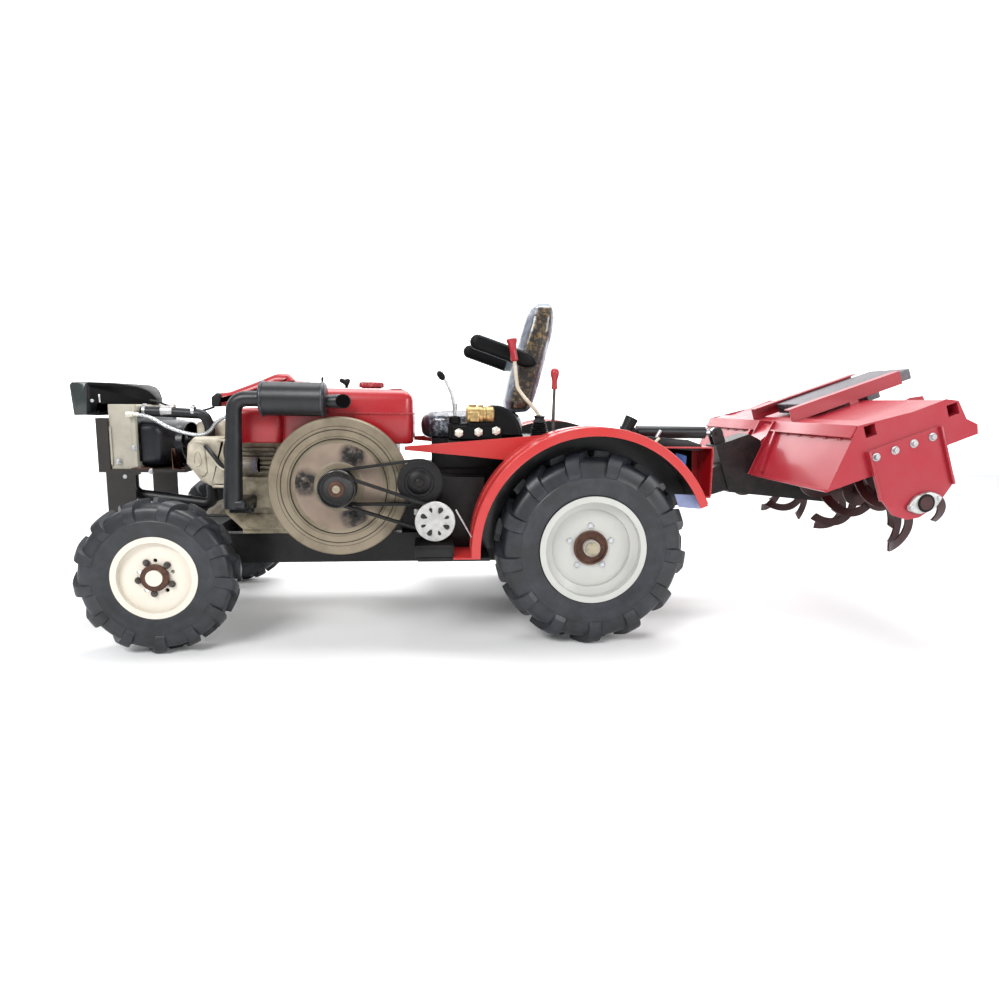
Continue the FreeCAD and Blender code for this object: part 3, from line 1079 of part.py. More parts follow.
lower_plate = cut(
    "lower_plate",
    plate("lower_sheet", "XZ_Plane", [
        ("-lower_front", "lower_top"), ("lower_rear", "lower_top"), ("lower_rear", "lower_heel"),
        ("lower_foot_rear", "-0.62 * lower_bottom"), ("-lower_foot_rear / 2", "-lower_bottom"),
        ("-lower_foot_front", "-0.84 * lower_bottom"), ("-lower_slope", "-0.16 * lower_bottom"),
        ("-lower_front + 12", "lower_toe")], "-deck_half - lower_thick", "lower_thick"),
    rod("plate_hole", ("0 * sheet", "-deck_half - lower_thick", "0 * sheet"), "shaft_radius + 5",
        "lower_thick", "Y"))
part("lower_side_plates", both_sides("lower_side_plates", lower_plate), tiller_place)

bearing = cut(
    "bearing",
    fused("bearing_solid",
          rod("bearing_body", ("0 * sheet", "-deck_half - lower_thick - bearing_thick",
                               "0 * sheet"), "bearing_radius", "bearing_thick", "Y"),
          box("bearing_ears", ("-bearing_ear", "-deck_half - lower_thick - bearing_thick / 2",
                               "-bearing_radius / 2"),
              ("2 * bearing_ear", "bearing_thick / 2", "bearing_radius"))),
    rod("bearing_hole", ("0 * sheet", "-deck_half - lower_thick - bearing_thick", "0 * sheet"),
        "shaft_radius + running_gap", "bearing_thick", "Y"))
part("rotor_bearings", both_sides("rotor_bearings", bearing), tiller_place)

def tine_shape():
    """A sickle blade: it sweeps back from its flange and bends out sideways to its point."""
    wide, thick = size("tine_wide"), size("tine_thick")
    sweep, aside = size("tine_sweep"), size("tine_aside")
    root, reach, neck = size("shaft_radius") + 10, size("tine_radius"), size("tine_neck")
    bend, turned = size("tine_bend"), math.radians(size("tine_turn"))

    def rim(radius):
        points = [FreeCAD.Vector(bend - radius * math.cos(a), 0, neck + radius * math.sin(a))
                  for a in (0, turned / 2, turned)]
        return Part.Arc(*points).toShape(), points

    outer, outer_points = rim(bend + wide / 2)
    inner, inner_points = rim(bend - wide / 2)
    foot = [FreeCAD.Vector(wide / 2, 0, root), FreeCAD.Vector(-wide / 2, 0, root)]
    runs = [(outer_points[2], inner_points[2]), (inner_points[0], foot[0]), foot,
            (foot[1], outer_points[0])]
    lines = [Part.LineSegment(*run).toShape() for run in runs]
    side = Part.Face(Part.Wire([outer, lines[0], inner, *lines[1:]]))
    side.translate(FreeCAD.Vector(0, -thick, 0))
    side = side.extrude(FreeCAD.Vector(0, aside + 2 * thick, 0))
    start = wide / 4
    curl = ((sweep - start) ** 2 + aside ** 2) / (2 * aside)
    centre = FreeCAD.Vector(start, curl, 0)
    turn = Part.makeCylinder(curl, reach, centre).cut(
        Part.makeCylinder(curl - thick, reach, centre))
    turn = turn.common(Part.makeBox(sweep - start, aside, reach, FreeCAD.Vector(start, 0, 0)))
    flank = Part.makeBox(wide + start, thick, reach, FreeCAD.Vector(-wide, 0, 0))
    swept = Part.makeCylinder(reach, 4 * aside, FreeCAD.Vector(0, -2 * aside, 0),
                              FreeCAD.Vector(0, 1, 0))
    return side.common(turn.fuse(flank).removeSplitter()).common(swept)


def rotor_shape():
    """Tine shaft with its flanges, each carrying blades turned to either side by turns."""
    shaft = cross_bar(FreeCAD.Vector(), size("deck_half") + size("lower_thick")
                      + size("bearing_thick") + 4, size("shaft_radius"))
    blade = tine_shape()
    half_flange = size("tine_flange_thick") / 2
    count = int(size("tine_count"))
    pieces = []
    for side in (-1, 1):
        for k in range(int(size("tine_flanges"))):
            y = side * (size("tine_first") + k * size("tine_step"))
            pieces.append(bar((0, y - half_flange, 0), (0, y + half_flange, 0),
                              size("tine_flange_radius")))
            for turn in range(count):
                tine = blade.copy()
                tine.translate(FreeCAD.Vector(0, half_flange, 0))
                if turn % 2:
                    tine = tine.mirror(FreeCAD.Vector(), FreeCAD.Vector(0, 1, 0))
                tine.rotate(FreeCAD.Vector(), FreeCAD.Vector(0, 1, 0),
                            360 * turn / count + size("tine_rest")
                            + size("tine_phase") * (2 * k + side))
                tine.translate(FreeCAD.Vector(0, y, 0))
                pieces.append(tine)
    return shaft.fuse(pieces).removeSplitter()


part("tine_rotor", shape_piece("tine_rotor", rotor_shape()), tiller_place)


def touching(x, z, radius, side):
    """Where a line from a point touches a circle about the tine shaft."""
    angle = math.atan2(z, x) + side * math.acos(radius / math.hypot(x, z))
    return (radius * math.cos(angle), radius * math.sin(angle))


def drive_case_shape():
    """Gear case over the hitch, its neck to the hinge, and the leg down to the tine shaft."""
    half = size("leg_half")
    hinge_x, hinge_z = on_tiller(size("hinge_x"), size("hinge_high"))
    eye = size("hinge_eye_radius")
    front, rear = -size("gear_front"), -size("gear_rear")
    low, high = size("gear_bottom"), size("gear_top")
    gears = flat([(front, low), (rear, low), (rear, high - 40), (rear - 40, high), (front, high)],
                 -size("gear_half"), size("gear_half"))
    boss = size("leg_radius")
    leg = flat([touching(front, low, boss, 1), (front, low), (rear, high - 60),
                touching(rear, high - 60, boss, -1)], -half, half)
    leg = leg.fuse(bar((0, -half, 0), (0, half, 0), boss))
    neck = flat([(front + 20, low + 10), (front + 20, low + 130), (hinge_x, hinge_z + eye),
                 (hinge_x, hinge_z - eye)], -size("neck_half"), size("neck_half"))
    eye_end = bar((hinge_x, -size("neck_half"), hinge_z), (hinge_x, size("neck_half"), hinge_z), eye)
    pin_x, pin_z = -size("top_pin_x"), size("top_pin_high")
    cheeks = [flat([(pin_x - 24, high - 5), (pin_x + 24, high - 5), (pin_x + 24, pin_z),
                    (pin_x - 24, pin_z)], y, y + size("ram_ear_thick")).fuse(
                        bar((pin_x, y, pin_z), (pin_x, y + size("ram_ear_thick"), pin_z), 24))
              for y in (-size("ram_eye_half") - 1 - size("ram_ear_thick"),
                        size("ram_eye_half") + 1)]
    pin = bar((pin_x, -30, pin_z), (pin_x, 30, pin_z), size("ram_pin_radius"))
    whole = gears.fuse([leg, neck, eye_end, pin, *cheeks])
    gap = size("running_gap")
    whole = whole.cut(bar((hinge_x, -60, hinge_z), (hinge_x, 60, hinge_z),
                          size("hinge_pin_radius") + gap))
    return whole.cut(bar((0, -60, 0), (0, 60, 0), size("shaft_radius") + gap)).removeSplitter()


part("drive_case", shape_piece("drive_case", drive_case_shape()), tiller_place)

mast_base = "(front_tube_high + tube / 2)"
mast_out, mast_in = "mast_half", "mast_half - mast_wide"
mast = plate("mast_arm", "YZ_Plane", [
    (f"-({mast_out})", mast_base), (f"-({mast_out}) + mast_wall", mast_base),
    (f"-({mast_out}) + mast_wall", f"{mast_base} + mast_high - mast_wall"),
    (f"-({mast_in})", f"{mast_base} + mast_high - mast_wall"),
    (f"-({mast_in})", f"{mast_base} + mast_high"), (f"-({mast_out})", f"{mast_base} + mast_high")],
    "-mast_front", "mast_front + mast_rear")
mast_foot = box("mast_foot", ("deck_rear / 2", f"-({mast_out})", "deck_high"),
                ("mast_wide", "mast_wall", f"{mast_base} + mast_wall - deck_high"))
part("mast_arms", both_sides("mast_arms", fused("left_mast_arm", mast, mast_foot)), tiller_place)
channel = plate("channel", "YZ_Plane", [
    (f"-({mast_in})", mast_base), (f"-({mast_in}) + mast_wall", mast_base),
    (f"-({mast_in}) + mast_wall", f"{mast_base} + mast_high - mast_wall"),
    (f"{mast_in} - mast_wall", f"{mast_base} + mast_high - mast_wall"),
    (f"{mast_in} - mast_wall", mast_base), (mast_in, mast_base),
    (mast_in, f"{mast_base} + mast_high"), (f"-({mast_in})", f"{mast_base} + mast_high")],
    "-channel_front", "channel_front + channel_rear")
hanger = box("channel_hanger", ("hanger_x", "-hanger_half", f"{mast_base} - hanger_deep"),
             ("hanger_long", "2 * hanger_half", f"hanger_deep + mast_high - mast_wall / 2"))
part("mast_channel", fused("mast_channel", channel, hanger), tiller_place)

# ---- lift ram --------------------------------------------------------------------------------
pin_world = tiller_place.multVec(FreeCAD.Vector(-size("top_pin_x"), 0, size("top_pin_high")))
ram_start = FreeCAD.Vector(size("ram_x"), 0, size("ram_high"))
ram_way = (pin_world - ram_start).normalize()
ram_reach = (pin_world - ram_start).Length
gap = size("running_gap")
eye_half = size("ram_eye_half")

ram_shank = size("ram_ear_radius") + 6
barrel = Part.makeCylinder(size("ram_radius"), size("ram_long"), ram_start + ram_way * ram_shank,
                           ram_way)
barrel = barrel.fuse([cross_bar(ram_start, eye_half, size("ram_ear_radius") - 2),
                      Part.makeCylinder(eye_half, ram_shank + 5, ram_start, ram_way)])
barrel = barrel.cut(cross_bar(ram_start, eye_half + 1, size("ram_pin_radius") + gap))
bore = Part.makeCylinder(size("ram_rod_radius") + gap, size("ram_long"),
                         ram_start + ram_way * (ram_shank + 20), ram_way)
barrel = barrel.cut(bore)
part("lift_cylinder", shape_piece("lift_cylinder", barrel.removeSplitter()))
rod_start = ram_start + ram_way * (ram_shank + 22)
ram_rod = Part.makeCylinder(size("ram_rod_radius"), ram_reach - ram_shank - 40, rod_start, ram_way)
ram_rod = ram_rod.fuse(cross_bar(pin_world, eye_half, size("ram_ear_radius") - 2))
ram_rod = ram_rod.cut(cross_bar(pin_world, eye_half + 1,
                                size("ram_pin_radius") + size("ram_pin_slack")))
part("lift_rod", shape_piece("lift_rod", ram_rod.removeSplitter()))

# ---- place, check and write ------------------------------------------------------------------
doc.recompute()
rear_reach = (size("shaft_x") + size("channel_rear") * math.cos(tilt)
              - size("deck_high") * math.sin(tilt))
shift = (size("shelf_front") + size("lamp_overhang") - rear_reach) / 2
for sub_part in parts.values():
    sub_part.Placement.move(FreeCAD.Vector(shift, 0, 0))
doc.recompute()

for item in doc.Objects:
    if "Invalid" in item.State or "Error" in item.State:
        raise RuntimeError(f"{item.Name} failed: {item.State}")
os.makedirs("parts", exist_ok=True)
for name, sub_part in parts.items():
    shape = sub_part.Shape
    if shape.isNull() or not shape.isValid():
        raise RuntimeError(f"{name} has no valid shape")
    shape.exportStep(f"parts/{name}.step")
whole = Part.Compound([sub_part.Shape for sub_part in parts.values()]).BoundBox
print("pieces", len(parts), "box", [round(value, 1) for value in
                                    (whole.XMin, whole.YMin, whole.ZMin, whole.XMax, whole.YMax,
                                     whole.ZMax)], "shift", round(shift, 2))
print("hinge", size("hinge_x") + shift, size("hinge_high"), "ram", ram_start.x + shift,
      ram_start.z, "pin", pin_world.x + shift, pin_world.z, "reach", ram_reach)
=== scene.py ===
# %% [markdown]
# # A small ride-on tiller
# The machine is a four-wheel tractor with an open single-cylinder diesel and a rotary tiller on
# a lift arm. The hard frame of it comes ready from CAD: every piece below is placed from the
# boxes of that frame, rides on one of its bodies, and gets a finish named for what it is made of.

# %% Load the frame
import json
import math

import bmesh
import bpy
import mathutils
import numpy as np
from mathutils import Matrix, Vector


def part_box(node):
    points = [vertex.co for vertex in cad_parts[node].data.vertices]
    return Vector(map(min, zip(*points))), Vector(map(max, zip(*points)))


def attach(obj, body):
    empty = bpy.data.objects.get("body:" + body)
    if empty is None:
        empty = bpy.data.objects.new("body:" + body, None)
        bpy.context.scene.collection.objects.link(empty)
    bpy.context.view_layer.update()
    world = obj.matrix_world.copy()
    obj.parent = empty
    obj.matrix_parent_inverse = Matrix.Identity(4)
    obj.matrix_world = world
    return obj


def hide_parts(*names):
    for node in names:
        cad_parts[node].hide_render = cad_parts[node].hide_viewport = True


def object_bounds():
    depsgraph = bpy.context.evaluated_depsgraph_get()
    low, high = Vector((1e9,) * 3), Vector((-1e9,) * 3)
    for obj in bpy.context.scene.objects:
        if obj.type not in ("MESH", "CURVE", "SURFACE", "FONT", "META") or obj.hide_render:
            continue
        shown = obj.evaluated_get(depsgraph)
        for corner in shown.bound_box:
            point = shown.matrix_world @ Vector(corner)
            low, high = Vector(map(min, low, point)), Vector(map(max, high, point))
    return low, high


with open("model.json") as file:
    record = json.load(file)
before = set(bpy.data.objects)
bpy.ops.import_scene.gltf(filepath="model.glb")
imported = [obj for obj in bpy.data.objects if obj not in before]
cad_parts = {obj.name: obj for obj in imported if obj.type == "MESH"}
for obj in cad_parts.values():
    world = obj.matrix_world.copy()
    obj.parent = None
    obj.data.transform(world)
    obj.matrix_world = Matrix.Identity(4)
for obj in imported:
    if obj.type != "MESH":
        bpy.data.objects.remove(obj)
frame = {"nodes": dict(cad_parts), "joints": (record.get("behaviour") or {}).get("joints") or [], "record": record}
cad_box = [list(corner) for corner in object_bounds()]
print(len(frame["nodes"]), "CAD nodes, box", [round(v, 3) for corner in cad_box for v in corner])

# %% [markdown]
# ## Where things are
# A mechanic measures a tractor from its rear axle and from the ground. `at` turns such
# millimetres into the frame's metres, and `tilled` does the same for the tiller, whose own
# drawing is level, with the tine shaft at its origin.

# %% Measuring helpers
def middle(node):
    """Halfway between the two corners of a CAD node's box."""
    low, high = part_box(node)
    return (np.array(low) + np.array(high)) / 2


axle_x = middle("rear_left_rim")[0]
joints = {joint["name"]: joint for joint in frame["joints"]}
shaft = np.array([joints["rotor_spin"]["pos_m"][0], 0, joints["rotor_spin"]["pos_m"][2]])
TILT = math.radians(19.5)


def at(points):
    """Millimetres from the ground below the rear axle: a thousandth, moved to the axle's X."""
    return np.asarray(points, float) / 1000 + [axle_x, 0, 0]


def tilled(points):
    """Millimetres from the tine shaft, turned about Y by the tilt and moved to the shaft."""
    x, y, z = np.moveaxis(np.asarray(points, float) / 1000, -1, 0)
    turned = [x * np.cos(TILT) - z * np.sin(TILT), y, x * np.sin(TILT) + z * np.cos(TILT)]
    return np.stack(turned, -1) + shaft


print("rear axle at X", round(axle_x, 4), "tine shaft at", shaft.round(4))

# %% [markdown]
# ## Camera and light
# The camera stands a little over two metres from the near wheels, at chest height, looking
# slightly down and to the rear. A wide lens this close makes the near front wheel loom.
# The light is a plain studio, with a broad key from the front left and a softer fill.

# %% Camera
bpy.context.scene.view_settings.view_transform = "Standard"
camera_data = bpy.data.cameras.new("Camera")
camera_data.sensor_width = 36
camera_data.lens = 24.2
camera_data.clip_end = 60
camera = bpy.data.objects.new("Camera", camera_data)
bpy.context.collection.objects.link(camera)
bpy.context.scene.camera = camera
yaw, pitch, roll = 0.1061, 0.1429, 0.0138
forward = np.array([math.sin(yaw) * math.cos(pitch), math.cos(yaw) * math.cos(pitch),
                    -math.sin(pitch)])
level = np.array([math.cos(yaw), -math.sin(yaw), 0])
above = np.cross(level, forward)
right = math.cos(roll) * level + math.sin(roll) * above
upward = math.cos(roll) * above - math.sin(roll) * level
placed = np.eye(4)
placed[:3, :3] = np.stack([right, upward, -forward], 1)
placed[:3, 3] = at([-590, -2853, 875])
camera.matrix_world = mathutils.Matrix(placed.tolist())
print("camera at", placed[:3, 3].round(3))


# %% [markdown]
# Four soft boxes light the machine, and a pale floor and a lit backdrop stand round it. The
# floor lies half a millimetre below the lowest point of the tyres.

# %% Light and floor
def paint_hex(text):
    """An sRGB hex colour as linear numbers: c/12.92 below .04045, else ((c+.055)/1.055)^2.4."""
    values = [int(text[k:k + 2], 16) / 255 for k in (1, 3, 5)]
    return [c / 12.92 if c <= 0.04045 else ((c + 0.055) / 1.055) ** 2.4 for c in values] + [1]


world = bpy.data.worlds.new("Studio")
bpy.context.scene.world = world
world.use_nodes = True
world.node_tree.nodes["Background"].inputs["Color"].default_value = paint_hex("#F4F6FA")
world.node_tree.nodes["Background"].inputs["Strength"].default_value = 0.42


def soft_box(name, place, aim, wide, high, power):
    """A rectangular lamp at a place, its -Z axis turned to the point it lights."""
    lamp = bpy.data.lights.new(name, "AREA")
    lamp.shape = "RECTANGLE"
    lamp.size, lamp.size_y, lamp.energy = wide, high, power
    body = bpy.data.objects.new(name, lamp)
    bpy.context.collection.objects.link(body)
    body.location = place
    way = mathutils.Vector(aim) - mathutils.Vector(place)
    body.rotation_euler = way.to_track_quat("-Z", "Y").to_euler()


soft_box("Key", (-3.2, -4.6, 4.4), (-0.2, 0, 0.5), 3.0, 2.0, 300)
soft_box("Fill", (3.6, -4.0, 2.4), (0.6, 0, 0.6), 2.4, 2.0, 120)
soft_box("Top", (0.2, 0.6, 4.6), (0.1, 0, 0.5), 4.0, 2.4, 200)
soft_box("Back", (0.5, 4.4, 3.0), (0, 0, 0.6), 4.0, 2.0, 80)


def stage_sheet(name, corners):
    """A flat sheet of the stage, which is not part of the machine."""
    mesh = bpy.data.meshes.new(name)
    mesh.from_pydata(corners, [], [(0, 1, 2, 3)])
    sheet = bpy.data.objects.new(name, mesh)
    bpy.context.collection.objects.link(sheet)
    return sheet


floor = stage_sheet("Floor", [(-14, -9, 0), (14, -9, 0), (14, 19, 0), (-14, 19, 0)])
FLOOR_GAP = 0.0005
floor.location.z = cad_box[0][2] - FLOOR_GAP
wall = stage_sheet("Wall", [(-30, 5.6, -1), (30, 5.6, -1), (30, 5.6, 24), (-30, 5.6, 24)])
print("four soft boxes, a pale floor and a lit backdrop")

# %% [markdown]
# ## Finishes
# Each finish is a Principled shader fed by a few procedural nodes. Patterns read Object
# coordinates, which are metres here, so a noise scale of 1000 / size gives grains of that size
# in millimetres. One helper adds a node with its settings and links.

# %% Node helper
def add(tree, kind, links=None, **settings):
    """One node: settings are its properties, links its sockets by name, as values or outputs."""
    made = tree.nodes.new("ShaderNode" + kind)
    for key, value in settings.items():
        setattr(made, key, value)
    for key, value in (links or {}).items():
        if isinstance(value, bpy.types.NodeSocket):
            tree.links.new(value, made.inputs[key])
        else:
            made.inputs[key].default_value = value
    return made


def blank_finish(name):
    """A new material with only its output, and the output of its Object coordinates."""
    finish = bpy.data.materials.new(name)
    finish.use_nodes = True
    tree = finish.node_tree
    tree.nodes.clear()
    where = add(tree, "TexCoord").outputs["Object"]
    return finish, tree, where


def close_finish(tree, links):
    """The Principled shader on the output, with its sockets set by name."""
    shader = add(tree, "BsdfPrincipled", links)
    add(tree, "OutputMaterial", {"Surface": shader.outputs["BSDF"]})


def mixed(tree, share, first, second):
    """Two colours, as hex or as links: (1 - share) first + share second."""
    first, second = (paint_hex(c) if isinstance(c, str) else c for c in (first, second))
    return add(tree, "Mix", {0: share, 6: first, 7: second}, data_type="RGBA").outputs[2]


def maths(tree, operation, *values, **settings):
    """One operation on one or two values."""
    return add(tree, "Math", dict(enumerate(values)), operation=operation,
               **settings).outputs["Value"]


def spread(tree, value, low, high, to_low=0.0, to_high=1.0, **settings):
    """A value mapped in a line from one range to another, and kept inside it."""
    return add(tree, "MapRange", {"Value": value, "From Min": low, "From Max": high,
                                  "To Min": to_low, "To Max": to_high},
               **settings).outputs["Result"]


def noise(tree, where, size_mm, detail, roughness=0.5, distortion=0.0):
    """Clouds of a size in millimetres."""
    return add(tree, "TexNoise", {"Vector": where, "Scale": 1000 / size_mm, "Detail": detail,
                                  "Roughness": roughness,
                                  "Distortion": distortion}).outputs["Fac"]


def bumped(tree, height, strength, distance, rounded=None):
    """A normal tilted by a height, over one already rounded at the edges if there is one."""
    links = {"Height": height, "Strength": strength, "Distance": distance}
    if rounded:
        links["Normal"] = rounded
    return add(tree, "Bump", links).outputs["Normal"]


def edge_normal(tree, edge_mm):
    """The normal as it would be if every edge were rounded by a radius."""
    return add(tree, "Bevel", {"Radius": edge_mm / 1000}, samples=4).outputs["Normal"]


def off_middle(tree, vector):
    """How far a vector points or lies to either side: the size of its Y part."""
    return maths(tree, "ABSOLUTE", add(tree, "SeparateXYZ", {"Vector": vector}).outputs["Y"])
print("node helpers ready")

# %% [markdown]
# Sprayed enamel is nearly even in colour. It wears through first where the sheet turns a
# sharp edge, since the film is thinnest there.

# %% Enamel on sheet steel
def darken_inside_arch(tree, where, shown, centre, radius, inside):
    """Black where a point is nearer the wheel's axis than the radius and not on the outer lip:
    both tests are 1 or 0, and their product mixes the colour."""
    flat = add(tree, "VectorMath", {0: where, 1: (1, 0, 1)}, operation="MULTIPLY")
    away = add(tree, "VectorMath", {0: flat.outputs["Vector"], 1: centre}, operation="DISTANCE")
    below = maths(tree, "LESS_THAN", away.outputs["Value"], radius)
    inner = maths(tree, "LESS_THAN", off_middle(tree, where), inside)
    return mixed(tree, maths(tree, "MULTIPLY", below, inner), shown, "#0C0B0B")


def enamel(name, colour, worn, rough=0.3, coat=0.35, soil=0.25, under=None, gloss=0.5):
    """Sprayed enamel: even colour, faint orange peel of 3 mm, dust in soft 120 mm clouds, and
    edges where the film is thin and paler. The edge mask is one minus the dot product of the
    true normal and a normal rounded over a few millimetres."""
    finish, tree, where = blank_finish(name)
    cloud = noise(tree, where, 120, 5.0, 0.6)
    soft = edge_normal(tree, 2.0)
    facing = add(tree, "VectorMath", {0: soft, 1: add(tree, "NewGeometry").outputs["Normal"]},
                 operation="DOT_PRODUCT")
    chipped = maths(tree, "MULTIPLY", spread(tree, facing.outputs["Value"], 0.98, 0.80),
                    spread(tree, noise(tree, where, 9, 3.0), 0.42, 0.62, 0.0, 0.8))
    dull = [0.72 * c + 0.05 for c in paint_hex(colour)[:3]] + [1]
    shown = mixed(tree, spread(tree, cloud, 0.35, 0.75, 0.0, soil), colour, dull)
    shown = mixed(tree, chipped, shown, worn)
    if under:
        shown = darken_inside_arch(tree, where, shown, *under)
    close_finish(tree, {
        "Base Color": shown, "Roughness": spread(tree, cloud, 0.3, 0.8, rough, rough + 0.2),
        "Normal": bumped(tree, noise(tree, where, 3, 1.0), 0.05, 0.0008, soft),
        "Coat Weight": coat, "Coat Roughness": 0.12, "IOR": 1.5, "Specular IOR Level": gloss})
    return finish


red_enamel = enamel("Crimson alkyd enamel", "#A00C18", "#D07A78")
tiller_red = enamel("Carmine enamel", "#9C1024", "#D98A90", rough=0.33, soil=0.3)
# The coral enamel turns near black inside the wheel arch, away from the outer lip.
coral_enamel = enamel("Coral red enamel", "#B82624", "#E79A90", rough=0.34,
                      under=((axle_x, 0, 0.355), 0.4385, 0.5515))
black_enamel = enamel("Black chassis enamel", "#070708", "#2C2C2E", rough=0.34, soil=0.3,
                      coat=0.08, gloss=0.25)
white_enamel = enamel("White wheel enamel", "#DCD4C6", "#9B948A", rough=0.35, soil=0.3)
silver_enamel = enamel("Silver wheel enamel", "#B9B9B4", "#7C7A76", rough=0.33, soil=0.4)
print("five enamels")

# %% [markdown]
# Bare metal, rubber and plastic share one recipe: a colour broken up by two noises, one of the
# grain's own size and one of large soft stains, with the same grain as a bump. What makes each
# one itself is in its numbers: metallic or not, how rough, and how coarse its grain is.

# %% Metals, rubbers and plastics
def substance(name, colour, stain, metallic=0.0, rough=0.5, grain_mm=2.0, bump=0.15,
              stain_mm=60, amount=0.5, coat=0.0, rough_span=0.15, gloss=0.5):
    """Colour mixed towards its stain by large noise, bump and roughness from the fine grain."""
    finish, tree, where = blank_finish(name)
    blot = spread(tree, noise(tree, where, stain_mm, 4.0, 0.62), 0.4, 0.68, 0.0, amount)
    fine = noise(tree, where, grain_mm, 2.0)
    close_finish(tree, {
        "Base Color": mixed(tree, blot, colour, stain),
        "Roughness": spread(tree, fine, 0.3, 0.7, rough, rough + rough_span),
        "Normal": bumped(tree, fine, bump, grain_mm / 4000, edge_normal(tree, 1.2)),
        "Metallic": metallic, "Coat Weight": coat, "Coat Roughness": 0.1,
        "Specular IOR Level": gloss})
    return finish


tyre_rubber = substance("Carbon black tyre rubber", "#121419", "#2B2F37", rough=0.36,
                        grain_mm=2.2, bump=0.3, stain_mm=70, amount=0.7, gloss=0.6)
hose_rubber = substance("EPDM hose rubber", "#0B0C0E", "#1C1D20", rough=0.36, grain_mm=1.0,
                        stain_mm=40, gloss=0.45)
belt_rubber = substance("V-belt rubber", "#0D0D0E", "#242220", rough=0.5, grain_mm=1.2,
                        gloss=0.35)
cast_cream = substance("Cream enamel on cast iron", "#A1977F", "#463D32", rough=0.44,
                       grain_mm=2.6, bump=0.4, stain_mm=45, amount=0.75, coat=0.12)
pale_cream = substance("Pale cream enamel on cast iron", "#CFC7B4", "#8A7E6A", rough=0.42,
                       grain_mm=2.6, bump=0.35, stain_mm=45, amount=0.6, coat=0.15)
flywheel_iron = substance("Machined grey cast iron", "#877C69", "#5F5444", metallic=0.3,
                          rough=0.4, grain_mm=1.5, bump=0.12, stain_mm=120, amount=0.7)
hot_black = substance("Heat-proof black paint", "#0C0E12", "#1C1F22", rough=0.32,
                      grain_mm=1.2, bump=0.1, stain_mm=60, amount=0.6, gloss=0.5)
moulded_black = substance("Moulded black ABS", "#060708", "#131417", rough=0.42, grain_mm=1.0,
                          bump=0.06, stain_mm=80, amount=0.4, gloss=0.16)
matt_black = substance("Moulded black polypropylene", "#0A0A0C", "#1A1A1D", rough=0.42,
                       grain_mm=1.0, bump=0.15, stain_mm=60, gloss=0.35)
red_plastic = substance("Red moulded ABS", "#A31420", "#7A0E18", rough=0.3, grain_mm=1.2,
                        bump=0.08, coat=0.3)
gear_iron = substance("Black paint on rough castings", "#0C0B0C", "#281C1C", rough=0.4,
                      grain_mm=5.0, bump=0.6, stain_mm=35, amount=0.8, gloss=0.4)
bright_zinc = substance("Bright zinc plating", "#C9CBCD", "#8D8F92", metallic=0.9, rough=0.28,
                        grain_mm=1.5, stain_mm=12, amount=0.5)
mast_grey = substance("Dull violet-grey sheet", "#6F6C70", "#4C4A50", metallic=0.2, rough=0.5,
                      grain_mm=1.6, stain_mm=14, amount=0.6)
tag_blue = substance("Blue enamel on a tab", "#2E5FAE", "#22457C", rough=0.35, grain_mm=1.4,
                     stain_mm=12, amount=0.6)
pale_zinc = substance("Pale plated caps", "#DDD9CE", "#9A9485", metallic=0.35, rough=0.3,
                      grain_mm=1.2, stain_mm=8, amount=0.6)
yellow_zinc = substance("Yellow zinc plating", "#C9AD78", "#5A4424", metallic=0.8, rough=0.3,
                        grain_mm=1.5, stain_mm=14, amount=0.6)
cast_aluminium = substance("Cast aluminium", "#C4C4C2", "#8E8E8C", metallic=0.75, rough=0.38,
                           grain_mm=1.6, bump=0.25, stain_mm=25, amount=0.5)
galvanised = substance("Galvanised sheet", "#9A978F", "#77736A", metallic=0.55, rough=0.42,
                       grain_mm=14, bump=0.05, stain_mm=50, amount=0.6)
hard_chrome = substance("Hard chrome", "#D6D7D9", "#B5B7BA", metallic=1.0, rough=0.12,
                        grain_mm=1.0, bump=0.02, rough_span=0.06)
steel_scale = substance("Bare steel with mill scale", "#5E5A57", "#3A3330", metallic=0.7,
                        rough=0.45, grain_mm=2.0, bump=0.2, stain_mm=30, amount=0.7)
tine_paint = substance("Maroon primer on spring steel", "#3A1414", "#1E0C0D", metallic=0.15,
                       rough=0.36, grain_mm=2.2, bump=0.2, stain_mm=40, amount=0.7, coat=0.1)
rusty_bore = substance("Rusted turned steel", "#5A3B2C", "#2E1E18", metallic=0.3, rough=0.55,
                       grain_mm=2.0, bump=0.35, stain_mm=20, amount=0.8)
radiator_tank = substance("Warm grey radiator enamel", "#A9A496", "#8B8577", rough=0.42,
                          grain_mm=1.6, bump=0.08, stain_mm=80, amount=0.5, coat=0.1)
brown_post = substance("Brown-black frame enamel", "#241F1B", "#121010", rough=0.36,
                       grain_mm=1.6, bump=0.1, stain_mm=60)
blue_black = substance("Blue-black moulded shroud", "#070A12", "#131824", rough=0.26,
                       grain_mm=1.2, bump=0.05, stain_mm=80)
floor_paint = substance("Pale floor", "#EFEFEF", "#E9E9E9", rough=0.8, grain_mm=3, bump=0.0,
                        stain_mm=900, amount=0.3)
floor.data.materials.append(floor_paint)
wall_glow = substance("Lit backdrop cloth", "#FFFFFF", "#F4F4F4", rough=0.9, grain_mm=3, bump=0.0,
                      stain_mm=4000, amount=0.2)
for node in wall_glow.node_tree.nodes:
    if node.type == "BSDF_PRINCIPLED":
        node.inputs["Emission Color"].default_value = (1, 1, 1, 1)
        node.inputs["Emission Strength"].default_value = 0.85
wall.data.materials.append(wall_glow)
print(len(bpy.data.materials), "finishes")

# %% [markdown]
# A CAD node whose shape is right keeps its mesh and only changes its finish. Its rolled edges
# come from the bevel node in the finishes, which rounds the light on an edge and not the edge.

